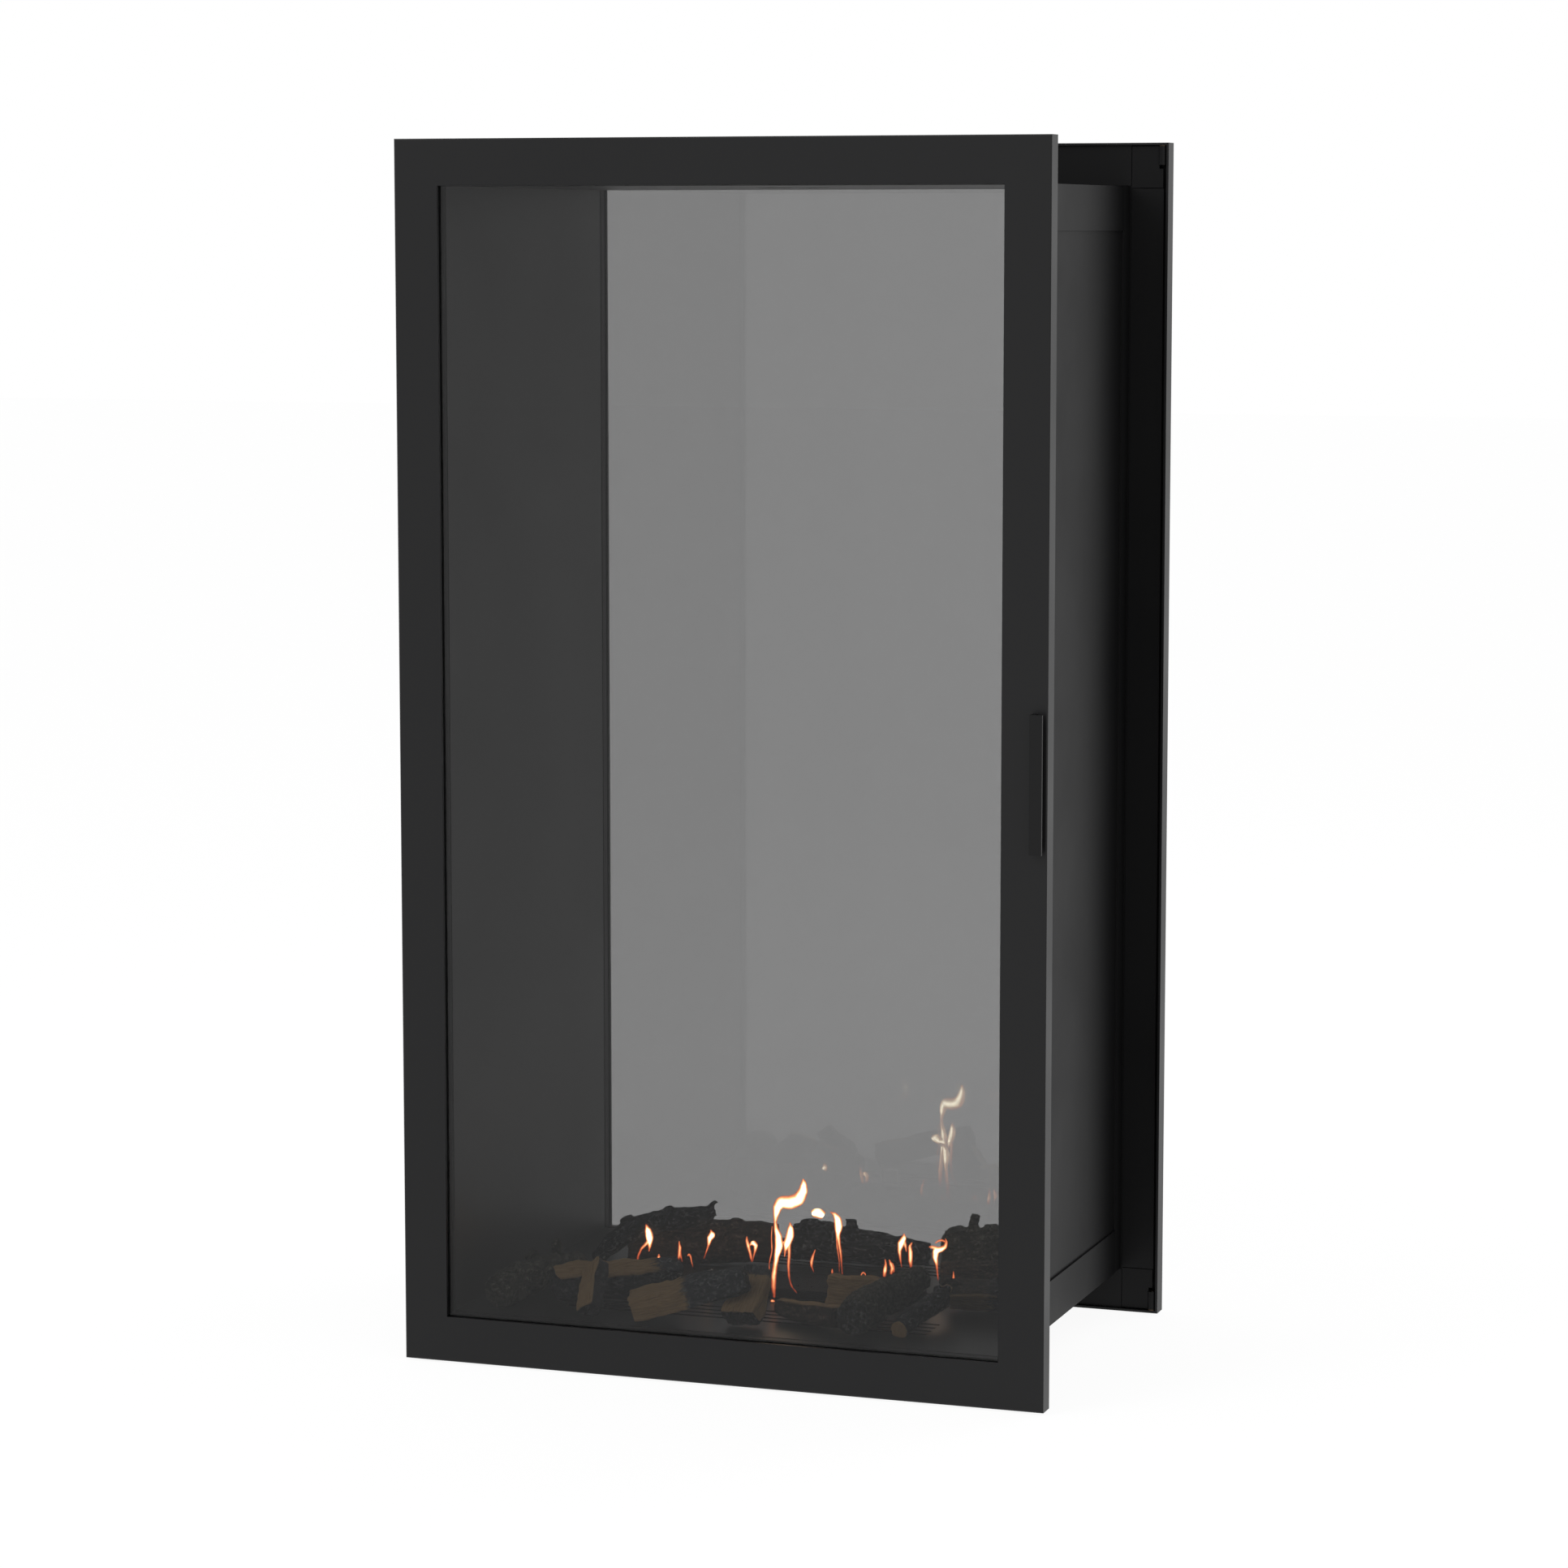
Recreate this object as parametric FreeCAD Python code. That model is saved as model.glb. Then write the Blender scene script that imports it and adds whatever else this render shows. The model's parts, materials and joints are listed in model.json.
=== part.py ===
import FreeCAD, Part
import math
import os

# Double-sided fireplace: a closed steel firebox seen through a glazed door on each side.
# Millimetres, +Z up. The origin is on the floor, in the middle of the footprint.
# X runs along the glass, the front door faces -Y, and the rear door is the front one turned
# half round about Z. Depths called t are measured inwards from the outer face of a door.

# Overall sizes
frame_width = 850.0
frame_height = 1550.0
body_depth = 578.0
frame_lift = 3.0

# Door tray: face plate with a folded return all round
border_width = 58.0
face_thickness = 5.0
return_depth = 27.0
return_thickness = 3.0
edge_chamfer = 1.5

# Door glass, its bedding tape and its clips
glass_thickness = 4.0
glass_overlap = 16.0
tape_thickness = 1.0
tape_width = 12.0
clip_sheet = 1.5
clip_width = 24.0
clip_foot = 12.0
clip_edge_gap = 4.0
clip_grip = 7.0
clips_per_side = 4
clips_per_end = 3

# Screws
screw_radius = 2.0
screw_head_radius = 3.5
screw_head_height = 2.4
screw_clearance = 0.05
clip_screw_reach = 3.5
flush_head_height = 1.2
flush_screw_reach = 2.4

# Pull handle: an open angle profile beside the free edge of each door
handle_length = 170.0
handle_width = 16.0
handle_projection = 14.0
handle_leg = 6.0
handle_grip = 3.0
handle_edge_gap = 3.0
handle_screw_spacing = 120.0
handle_screw_reach = 8.0

# Door hinges: an upright pin at the top and bottom corner of one side
hinge_inset = 9.0
pin_radius = 3.0
pin_length = 28.0
pin_clearance = 0.05
barrel_wall = 1.1
barrel_length = 24.0
bush_flange = 1.3
swing_clearance = 0.4
thrust_gap = 0.2

# Fixed rim behind each door: neck, flange and the cover strips on it
cover_recess = 5.0
cover_thickness = 2.0
cover_groove = 2.8
cover_joint = 1.0
cover_end_gap = 0.8
cover_edge_gap = 0.3
hinge_side_gap = 4.3
flange_thickness = 3.0
flange_reach = 14.0
flange_inset_top = 38.0
neck_length = 41.2
neck_step = 1.0
lip_depth = 12.7
gasket_thickness = 1.5
gasket_margin = 0.5
glass_seal_gap = 0.3
cover_screws_cross = 4
cover_screws_side = 5
catch_width = 16.0
catch_length = 40.0
catch_inset_side = 8.0
catch_inset_end = 10.0
catch_gap = 0.3

# Casing
casing_inset_side = 52.0
casing_inset_top = 56.0
casing_inset_bottom = 57.0
sheet = 1.5
skirt_height = 57.5
panel_recess = 3.0
liner_joint = 3.0

# Flue collars
flue_outer_radius = 75.0
flue_inner_radius = 50.0
flue_sheet = 1.5
flue_height = 50.0
flue_outer_foot = 13.0
flue_inner_foot = 12.0
lid_hole_edge = 1.5
air_hole_radius = 3.5
air_hole_count = 12

# Fire floor and burner box
slot_width = 7.0
slot_pitch = 18.0
slots_per_band = 4
slot_edge_gap = 20.0
slot_end_gap = 12.0
box_side_gap = 112.0
box_end_gap = 31.0
box_height = 50.0
box_flange = 4.0

# Burner head, in shares of the half length of the fire bed
burner_length_share = 1.05
burner_width_share = 0.262
burner_rise_share = 0.033
burner_place_shares = (-0.02, -0.027)
burner_wall = 2.0
burner_flange = 6.0
burner_depth = 17.0
burner_fit = 0.5
port_radius = 2.0
port_rows = 2
ports_per_row = 16

# Pilot burner, gas valve and gas pipes
pilot_place_shares = (-0.19, -0.215)
pilot_length = 20.0
pilot_width = 14.0
pilot_height = 28.0
pilot_bore = 4.0
electrode_radius = 1.5
electrode_gap = 4.0
electrode_rise = 8.0
valve_length = 80.0
valve_width = 50.0
valve_height = 36.0
valve_wall_gap = 20.0
valve_offset = 85.0
valve_knob_radius = 11.0
valve_knob_height = 9.0
pipe_radius = 4.0
pipe_wall = 1.0
pipe_bend = 15.0
pipe_reach = 51.3
inlet_radius = 10.5
inlet_bore = 7.0
inlet_reach = 45.0
inlet_nut_radius = 15.0
inlet_nut_length = 10.0
wall_pass_gap = 0.5

# Levelling feet
foot_inset_side = 133.0
foot_inset_end = 14.0
foot_pad_radius = 15.0
foot_pad_height = 6.0
foot_stud_radius = 5.0
foot_boss_radius = 12.0
foot_boss_height = 20.0
foot_thread_gap = 0.05
foot_stud_gap = 2.0

# Logs, in shares of the half length of the fire bed: start, end, start and end radius
seat_gap = 0.3
pile_depth_share = 0.72
round_shares = (1.0, 0.93, 0.99, 0.9, 0.97, 1.0, 0.92, 0.98, 0.91, 0.96)
split_shares = ((-1.0, 0.25), (-0.9, -0.45), (-0.5, -0.85), (0.0, -1.0), (0.5, -0.86), (0.9, -0.42),
                (1.0, 0.3), (0.55, 0.5), (-0.5, 0.55))
wedge_shares = ((-1.0, -0.8), (0.85, -0.9), (1.0, -0.2), (0.2, 0.95), (-0.6, 0.7))
log_shares = {
    "log_bark_left": ((-0.872, -0.632, 0.063), (-0.782, -0.087, 0.054), 0.065, 0.052, "round"),
    "log_charred_top": ((-0.768, 0.022, 0.041), (-0.373, 0.177, 0.213), 0.038, 0.041, "round"),
    "log_back": ((-0.692, 0.163, 0.079), (-0.172, 0.349, 0.076), 0.079, 0.076, "round"),
    "log_charred_back": ((-0.142, 0.403, 0.079), (0.365, 0.469, 0.052), 0.076, 0.049, "round"),
    "log_right_back": ((0.431, 0.425, 0.074), (0.946, 0.480, 0.087), 0.071, 0.087, "round"),
    "log_brown_right": ((0.501, 0.180, 0.049), (0.940, 0.240, 0.049), 0.049, 0.049, "round"),
    "log_right_front": ((0.638, -0.163, 0.065), (0.940, -0.093, 0.065), 0.065, 0.065, "split"),
    "log_split_left": ((-0.700, -0.526, 0.071), (-0.349, -0.229, 0.063), 0.071, 0.061, "split"),
    "log_split_end_on": ((-0.515, -0.687, 0.045), (-0.561, -0.496, 0.161), 0.046, 0.040, "wedge"),
    "log_split_front": ((-0.365, -0.640, 0.071), (0.022, -0.564, 0.191), 0.072, 0.042, "split"),
    "log_stump": ((0.038, -0.627, 0.063), (0.011, -0.398, 0.158), 0.065, 0.046, "split"),
    "log_reddish": ((0.104, -0.436, 0.033), (0.351, -0.559, 0.048), 0.031, 0.049, "round"),
    "log_tan_block": ((0.223, -0.248, 0.063), (0.403, -0.234, 0.063), 0.065, 0.065, "wedge"),
    "log_diagonal": ((0.431, -0.621, 0.069), (0.493, -0.060, 0.093), 0.071, 0.048, "round"),
    "log_dark_branch": ((0.589, -0.591, 0.035), (0.654, -0.294, 0.082), 0.035, 0.038, "round"),
}
log_middle_share = 0.5
log_rise_shares = {"log_charred_top": 0.06}
log_swell_share = 1.06

# How far cutting shapes run past what they cut
overrun = 5.0

# Derived planes and half sizes
half_width = frame_width / 2
half_depth = body_depth / 2
middle_height = frame_lift + frame_height / 2
opening_half = half_width - border_width
glass_front = face_thickness + tape_thickness
glass_back = glass_front + glass_thickness
cover_back = return_depth - cover_recess
cover_front = cover_back - cover_thickness
flange_front = cover_front - flange_thickness
rim_front = glass_back + glass_seal_gap + gasket_thickness
rim_back = rim_front + neck_length
lip_back = rim_front + lip_depth
liner_front = lip_back + liner_joint
casing_half = half_width - casing_inset_side
casing_end = half_depth - rim_back
neck_half = casing_half - neck_step
panel_face = casing_half - panel_recess
wall_half = panel_face - sheet
fire_half = wall_half - sheet
casing_low = frame_lift + casing_inset_bottom
casing_high = frame_lift + frame_height - casing_inset_top
wall_low = casing_low + sheet
wall_high = casing_high - sheet
floor_top = wall_low + sheet
ceiling_low = wall_high - sheet
liner_end = half_depth - liner_front
cover_inner = neck_half + cover_groove
hinge_x = hinge_inset - half_width
hinge_depth = (cover_front + cover_back) / 2
barrel_radius = hinge_inset - return_thickness - swing_clearance
bush_radius = barrel_radius - barrel_wall
box_half_x = fire_half - box_side_gap
box_half_y = casing_end - box_end_gap
box_low = casing_low - box_height
bed_half = min(fire_half, (half_depth - glass_back) / pile_depth_share)
burner_half = bed_half * burner_length_share / 2
burner_half_width = bed_half * burner_width_share / 2
burner_x = bed_half * burner_place_shares[0]
burner_y = bed_half * burner_place_shares[1]
burner_top = floor_top + bed_half * burner_rise_share
burner_low = floor_top - burner_depth
valve_left = -box_half_x + sheet + valve_wall_gap
valve_floor = box_low + sheet
valve_middle = valve_floor + valve_height / 2


# Basic shapes

def vec(x, y, z):
    return FreeCAD.Vector(x, y, z)


def at_depth(t):
    """Y of a plane that lies t behind the front door's outer face."""
    return t - half_depth


def from_low(inset):
    return frame_lift + inset


def from_high(inset):
    return frame_lift + frame_height - inset


def end_span(upper, near, far):
    """Heights of a piece that lies between two distances from the top or bottom of the frame."""
    if upper:
        return from_high(far), from_high(near)
    return from_low(near), from_low(far)


def block(x0, x1, y0, y1, z0, z1):
    return Part.makeBox(x1 - x0, y1 - y0, z1 - z0, vec(x0, y0, z0))


def ring(half_out, low_out, high_out, half_in, low_in, high_in, t0, t1):
    """Upright rectangular ring between two depths."""
    outer = block(-half_out, half_out, at_depth(t0), at_depth(t1), low_out, high_out)
    inner = block(-half_in, half_in, at_depth(t0) - overrun, at_depth(t1) + overrun, low_in, high_in)
    return outer.cut(inner)


def rod_y(x, z, radius, t0, t1):
    """Round bar along Y between two depths."""
    return Part.makeCylinder(radius, t1 - t0, vec(x, at_depth(t0), z), vec(0, 1, 0))


def rod_z(x, y, radius, z0, z1):
    return Part.makeCylinder(radius, z1 - z0, vec(x, y, z0), vec(0, 0, 1))


def rod_x(y, z, radius, x0, x1):
    return Part.makeCylinder(radius, x1 - x0, vec(x0, y, z), vec(1, 0, 0))


def turned(shape):
    """The same piece on the rear side: half a turn about Z."""
    copy = shape.copy()
    copy.rotate(vec(0, 0, 0), vec(0, 0, 1), 180)
    return copy


def join(shapes):
    solid = shapes[0].fuse(shapes[1:])
    return solid.removeSplitter()


def group(shapes):
    return Part.makeCompound(shapes)


def save(name, shape):
    shape.exportStep("parts/" + name + ".step")


# Doors

def edge_block(side, s0, s1, t0, t1, along, width):
    """Block beside one edge of the opening: s runs outwards from the edge, along is its middle."""
    w0 = along - width / 2
    w1 = along + width / 2
    y0 = at_depth(t0)
    y1 = at_depth(t1)
    if side == "right":
        return block(opening_half + s0, opening_half + s1, y0, y1, w0, w1)
    if side == "left":
        return block(-opening_half - s1, -opening_half - s0, y0, y1, w0, w1)
    if side == "top":
        return block(w0, w1, y0, y1, from_high(border_width) + s0, from_high(border_width) + s1)
    return block(w0, w1, y0, y1, from_low(border_width) - s1, from_low(border_width) - s0)


def clip_places():
    """Each glass clip as the edge it sits on and its middle along that edge."""
    opening_height = frame_height - 2 * border_width
    places = []
    for index in range(clips_per_side):
        z = from_low(border_width) + opening_height * (index + 0.5) / clips_per_side
        places.append(("left", z))
        places.append(("right", z))
    for index in range(clips_per_end):
        x = -opening_half + 2 * opening_half * (index + 0.5) / clips_per_end
        places.append(("top", x))
        places.append(("bottom", x))
    return places


def clip_screw_place(side, along):
    s = glass_overlap + clip_edge_gap + clip_foot / 2
    if side == "right":
        return opening_half + s, along
    if side == "left":
        return -opening_half - s, along
    if side == "top":
        return along, from_high(border_width) + s
    return along, from_low(border_width) - s


def handle_screw_places():
    x = half_width - handle_edge_gap - handle_width + handle_leg / 2
    return [(x, middle_height - handle_screw_spacing / 2), (x, middle_height + handle_screw_spacing / 2)]


def door_frame():
    tray = block(-half_width, half_width, at_depth(0), at_depth(return_depth), from_low(0), from_high(0))
    front_edges = [edge for edge in tray.Edges if edge.BoundBox.YMax < at_depth(0) + screw_clearance]
    tray = tray.makeChamfer(edge_chamfer, front_edges)
    inside = half_width - return_thickness
    hollow = block(-inside, inside, at_depth(face_thickness), at_depth(return_depth) + overrun,
                   from_low(return_thickness), from_high(return_thickness))
    opening = block(-opening_half, opening_half, at_depth(0) - overrun, at_depth(return_depth) + overrun,
                    from_low(border_width), from_high(border_width))
    cuts = [hollow, opening]
    for side, along in clip_places():
        x, z = clip_screw_place(side, along)
        cuts.append(rod_y(x, z, screw_radius + screw_clearance, face_thickness - clip_screw_reach,
                          face_thickness + overrun))
    for x, z in handle_screw_places():
        cuts.append(rod_y(x, z, screw_radius + screw_clearance, -overrun, face_thickness + overrun))
    cuts.append(rod_z(hinge_x, at_depth(hinge_depth), pin_radius + screw_clearance,
                      from_low(0) - overrun, from_high(0) + overrun))
    return tray.cut(group(cuts))


def glass_pane():
    edge = border_width - glass_overlap
    half = opening_half + glass_overlap
    return block(-half, half, at_depth(glass_front), at_depth(glass_back), from_low(edge), from_high(edge))


def glass_tape():
    outer = border_width - glass_overlap
    inner = outer + tape_width
    return ring(half_width - outer, from_low(outer), from_high(outer),
                half_width - inner, from_low(inner), from_high(inner), face_thickness, glass_front)


def glass_clips():
    clips = []
    riser = glass_overlap + clip_edge_gap
    tongue_back = glass_back + clip_sheet
    for side, along in clip_places():
        foot = edge_block(side, riser, riser + clip_foot, face_thickness, face_thickness + clip_sheet,
                          along, clip_width)
        stand = edge_block(side, riser, riser + clip_sheet, face_thickness, tongue_back, along, clip_width)
        tongue = edge_block(side, glass_overlap - clip_grip, riser + clip_sheet, glass_back, tongue_back,
                            along, clip_width)
        x, z = clip_screw_place(side, along)
        hole = rod_y(x, z, screw_radius + screw_clearance, 0, tongue_back)
        clips.append(join([foot, stand, tongue]).cut(hole))
    return group(clips)


def screw(x, z, head_radius, head_t0, head_t1, tip_t, shank_t):
    """Screw along Y: head between two depths and a shank from the head to its tip."""
    head = rod_y(x, z, head_radius, head_t0, head_t1)
    shank = rod_y(x, z, screw_radius, tip_t, shank_t)
    return head.fuse(shank)


def door_screws():
    screws = []
    seat = face_thickness + clip_sheet
    for side, along in clip_places():
        x, z = clip_screw_place(side, along)
        screws.append(screw(x, z, screw_head_radius, seat, seat + screw_head_height,
                            face_thickness - clip_screw_reach, seat))
    for x, z in handle_screw_places():
        screws.append(screw(x, z, screw_head_radius, face_thickness, face_thickness + screw_head_height,
                            -handle_screw_reach, face_thickness))
    return group(screws)


def pull_handle():
    right = half_width - handle_edge_gap
    left = right - handle_width
    low = middle_height - handle_length / 2
    high = middle_height + handle_length / 2
    leg = block(left, left + handle_leg, at_depth(-handle_projection), at_depth(0), low, high)
    grip = block(left, right, at_depth(-handle_projection), at_depth(handle_grip - handle_projection),
                 low, high)
    holes = [rod_y(x, z, screw_radius + screw_clearance, -handle_screw_reach - seat_gap, overrun)
             for x, z in handle_screw_places()]
    return join([leg, grip]).cut(group(holes))


def hinge_pins():
    pins = []
    for upper in (False, True):
        z0, z1 = end_span(upper, 0, pin_length)
        pins.append(rod_z(hinge_x, at_depth(hinge_depth), pin_radius, z0, z1))
    return group(pins)


# Fixed rims

def cover_screw_places():
    """Screws of the cover strips, corner plates and hinge brackets of one side."""
    places = []
    middle = (flange_inset_top + casing_inset_top) / 2
    reach = neck_half - cover_groove
    for index in range(cover_screws_cross):
        x = reach * (2 * (index + 0.5) / cover_screws_cross - 1)
        places.append((x, from_low(middle)))
        places.append((x, from_high(middle)))
    side_x = cover_inner + (neck_half + flange_reach - cover_inner) / 2
    low = from_low(border_width)
    high = from_high(border_width)
    for index in range(cover_screws_side):
        z = low + (high - low) * (index + 0.5) / cover_screws_side
        places.append((side_x, z))
        places.append((-side_x, z))
    for z in (from_low(middle), from_high(middle)):
        places.append((side_x, z))
        places.append((-side_x, z))
    return places


def cover_screw_cuts():
    cuts = []
    for x, z in cover_screw_places():
        cuts.append(rod_y(x, z, screw_head_radius + screw_clearance, cover_back - flush_head_height,
                          cover_back + overrun))
        cuts.append(rod_y(x, z, screw_radius + screw_clearance, cover_front - flush_screw_reach,
                          cover_back + overrun))
    return group(cuts)


def cover_screws():
    return [screw(x, z, screw_head_radius, cover_back - flush_head_height, cover_back,
                  cover_front - flush_screw_reach, cover_back) for x, z in cover_screw_places()]


def rim():
    neck = ring(neck_half, casing_low, casing_high, wall_half, wall_low, wall_high, rim_front, rim_back)
    lip = ring(neck_half, casing_low, casing_high, fire_half, floor_top, ceiling_low, rim_front, lip_back)
    flange = ring(neck_half + flange_reach, from_low(flange_inset_top), from_high(flange_inset_top),
                  wall_half, wall_low, wall_high, flange_front, cover_front)
    return join([neck, lip, flange]).cut(cover_screw_cuts())


def cross_strips():
    """Cover strips above and below the neck."""
    half = cover_inner - cover_end_gap
    strips = []
    for upper, inner in ((False, casing_inset_bottom), (True, casing_inset_top)):
        z0, z1 = end_span(upper, return_thickness + cover_edge_gap, inner - neck_step)
        strips.append(block(-half, half, at_depth(cover_front), at_depth(cover_back), z0, z1))
    cuts = cover_screw_cuts()
    return group([strip.cut(cuts) for strip in strips])


def side_strips():
    """Cover strips beside the neck, with a gap along the returns for the door to swing."""
    outer = half_width - return_thickness - hinge_side_gap
    z0 = from_low(border_width + cover_joint)
    z1 = from_high(border_width + cover_joint)
    y0 = at_depth(cover_front)
    y1 = at_depth(cover_back)
    strips = [block(cover_inner, outer, y0, y1, z0, z1), block(-outer, -cover_inner, y0, y1, z0, z1)]
    cuts = cover_screw_cuts()
    return group([strip.cut(cuts) for strip in strips])


def corner_plates():
    """Square corner plates on the side where the door opens."""
    outer = half_width - return_thickness - cover_edge_gap
    plates = []
    cuts = cover_screw_cuts()
    for upper in (False, True):
        z0, z1 = end_span(upper, return_thickness + cover_edge_gap, border_width)
        plate = block(cover_inner, outer, at_depth(cover_front), at_depth(cover_back), z0, z1)
        plates.append(plate.cut(cuts))
    return plates


def hinge_brackets():
    """Corner plates on the hinge side, each with the barrel of a hinge."""
    near = return_thickness + thrust_gap + bush_flange
    y0 = at_depth(cover_front)
    y1 = at_depth(cover_back)
    brackets = []
    cuts = cover_screw_cuts()
    for upper in (False, True):
        z0, z1 = end_span(upper, near, border_width)
        b0, b1 = end_span(upper, near, near + barrel_length)
        plate = block(hinge_x, -cover_inner, y0, y1, z0, z1)
        barrel = rod_z(hinge_x, at_depth(hinge_depth), barrel_radius, b0, b1)
        edge = rod_z(hinge_x, at_depth(hinge_depth), cover_thickness / 2, z0, z1)
        bore = rod_z(hinge_x, at_depth(hinge_depth), bush_radius, b0 - overrun, b1 + overrun)
        bracket = join([plate, barrel, edge]).cut(bore)
        solids = bracket.cut(cuts).Solids
        brackets.append(max(solids, key=lambda solid: solid.Volume))
    return brackets


def hinge_bushes():
    """Flanged bushes in the barrels; the door's top return hangs on the upper flange."""
    near = return_thickness + thrust_gap
    bushes = []
    for upper in (False, True):
        f0, f1 = end_span(upper, near, near + bush_flange)
        b0, b1 = end_span(upper, near, near + bush_flange + barrel_length)
        flange = rod_z(hinge_x, at_depth(hinge_depth), barrel_radius, f0, f1)
        tube = rod_z(hinge_x, at_depth(hinge_depth), bush_radius, b0, b1)
        bore = rod_z(hinge_x, at_depth(hinge_depth), pin_radius + pin_clearance, b0 - overrun, b1 + overrun)
        bushes.append(flange.fuse(tube).cut(bore))
    return bushes


def catch_magnets():
    """Magnets that hold the free edge of the door by its face plate."""
    x1 = half_width - catch_inset_side
    x0 = x1 - catch_width
    magnets = []
    for upper in (False, True):
        z0, z1 = end_span(upper, catch_inset_end, catch_inset_end + catch_length)
        magnets.append(block(x0, x1, at_depth(face_thickness + catch_gap), at_depth(cover_front), z0, z1))
    return magnets


def rope_gasket():
    return ring(neck_half - gasket_margin, casing_low + gasket_margin, casing_high - gasket_margin,
                fire_half + gasket_margin, floor_top - gasket_margin, ceiling_low + gasket_margin,
                rim_front - gasket_thickness, rim_front)


# Casing

def skirts(z_edge, z_sheet):
    """Side skirts with a hem that touches the side panels; z_edge is the hemmed edge."""
    low = min(z_edge, z_sheet)
    high = max(z_edge, z_sheet)
    hem_low = low if z_edge < z_sheet else high - sheet
    pieces = []
    for sign in (-1, 1):
        skirt_x = sorted((sign * (casing_half - sheet), sign * casing_half))
        hem_x = sorted((sign * panel_face, sign * casing_half))
        pieces.append(block(skirt_x[0], skirt_x[1], -casing_end, casing_end, low, high))
        pieces.append(block(hem_x[0], hem_x[1], -casing_end, casing_end, hem_low, hem_low + sheet))
    return pieces


def lid():
    top = block(-casing_half, casing_half, -casing_end, casing_end, wall_high, casing_high)
    hole = rod_z(0, 0, flue_outer_radius - flue_sheet - lid_hole_edge, wall_high - overrun,
                 casing_high + overrun)
    return join([top] + skirts(casing_high - skirt_height, casing_high)).cut(hole)


def foot_places():
    x = casing_half - foot_inset_side
    y = casing_end - foot_inset_end
    return [(sx * x, sy * y) for sx in (-1, 1) for sy in (-1, 1)]


def base():
    bottom = block(-casing_half, casing_half, -casing_end, casing_end, casing_low, wall_low)
    pieces = [bottom] + skirts(casing_low + skirt_height, casing_low)
    cuts = [block(-box_half_x + sheet, box_half_x - sheet, -box_half_y + sheet, box_half_y - sheet,
                  casing_low - overrun, wall_low + overrun)]
    for x, y in foot_places():
        pieces.append(rod_z(x, y, foot_boss_radius, casing_low - foot_boss_height, casing_low))
        cuts.append(rod_z(x, y, foot_stud_radius + foot_thread_gap, casing_low - foot_boss_height - overrun,
                          casing_low))
    return join(pieces).cut(group(cuts))


def side_wall(sign, inner, outer, end):
    x0, x1 = sorted((sign * inner, sign * outer))
    return block(x0, x1, -end, end, wall_low, wall_high)


def ceiling():
    plate = block(-fire_half, fire_half, -liner_end, liner_end, ceiling_low, wall_high)
    cuts = [rod_z(0, 0, flue_inner_radius, ceiling_low - overrun, wall_high + overrun)]
    ring_radius = (flue_inner_radius + flue_inner_foot + flue_outer_radius - flue_sheet - lid_hole_edge) / 2
    for index in range(air_hole_count):
        angle = 2 * math.pi * index / air_hole_count
        cuts.append(rod_z(ring_radius * math.cos(angle), ring_radius * math.sin(angle), air_hole_radius,
                          ceiling_low - overrun, wall_high + overrun))
    return plate.cut(group(cuts))


def stadium(half, half_width_here, z0, z1):
    """Upright prism with round ends over the burner's place."""
    straight = half - half_width_here
    left = rod_z(burner_x - straight, burner_y, half_width_here, z0, z1)
    right = rod_z(burner_x + straight, burner_y, half_width_here, z0, z1)
    middle = block(burner_x - straight, burner_x + straight, burner_y - half_width_here,
                   burner_y + half_width_here, z0, z1)
    return join([left, middle, right])


def fire_floor():
    plate = block(-fire_half, fire_half, -liner_end, liner_end, wall_low, floor_top)
    cuts = [stadium(burner_half + burner_fit, burner_half_width + burner_fit, wall_low - overrun,
                    floor_top + overrun)]
    slot_half = box_half_x - slot_end_gap
    for index in range(slots_per_band):
        middle = box_half_y - slot_edge_gap - slot_pitch * index
        for sign in (-1, 1):
            y = sign * middle
            cuts.append(block(-slot_half, slot_half, y - slot_width / 2, y + slot_width / 2,
                              wall_low - overrun, floor_top + overrun))
    return plate.cut(group(cuts))


# Flue collars

def collar(radius, foot_reach, z0, foot_low, z1):
    """Short pipe from z0 to z1 with a flat foot ring around it at foot_low."""
    tube = rod_z(0, 0, radius, z0, z1)
    foot = rod_z(0, 0, radius + foot_reach, foot_low, foot_low + sheet)
    bore = rod_z(0, 0, radius - flue_sheet, z0 - overrun, z1 + overrun)
    return tube.fuse(foot).cut(bore)


# Burner and gas parts

def burner_box():
    outer = block(-box_half_x, box_half_x, -box_half_y, box_half_y, box_low, casing_low)
    flange = block(-box_half_x - box_flange, box_half_x + box_flange, -box_half_y - box_flange,
                   box_half_y + box_flange, casing_low - sheet, casing_low)
    inside = block(-box_half_x + sheet, box_half_x - sheet, -box_half_y + sheet, box_half_y - sheet,
                   box_low + sheet, casing_low + overrun)
    pass_hole = rod_x(valve_offset, valve_middle, inlet_radius + wall_pass_gap, -box_half_x - overrun,
                      -box_half_x + sheet + overrun)
    return join([outer, flange]).cut(inside).cut(pass_hole)


def burner_inlet_place():
    return valve_left + valve_length + pipe_reach, burner_y


def burner_head():
    body = stadium(burner_half, burner_half_width, burner_low, burner_top)
    foot = stadium(burner_half + burner_flange, burner_half_width + burner_flange, floor_top,
                   floor_top + sheet)
    cavity = stadium(burner_half - burner_wall, burner_half_width - burner_wall, burner_low + burner_wall,
                     burner_top - burner_wall)
    cuts = [cavity]
    straight = burner_half - burner_half_width
    for row in range(port_rows):
        y = burner_y + burner_half_width * (2 * (row + 0.5) / port_rows - 1)
        for index in range(ports_per_row):
            x = burner_x + straight * (2 * (index + 0.5) / ports_per_row - 1)
            cuts.append(rod_z(x, y, port_radius, burner_top - burner_wall - overrun, burner_top + overrun))
    x, y = burner_inlet_place()
    cuts.append(rod_z(x, y, pipe_radius + screw_clearance, burner_low - overrun,
                      burner_low + burner_wall + overrun))
    return join([body, foot]).cut(group(cuts))


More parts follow.
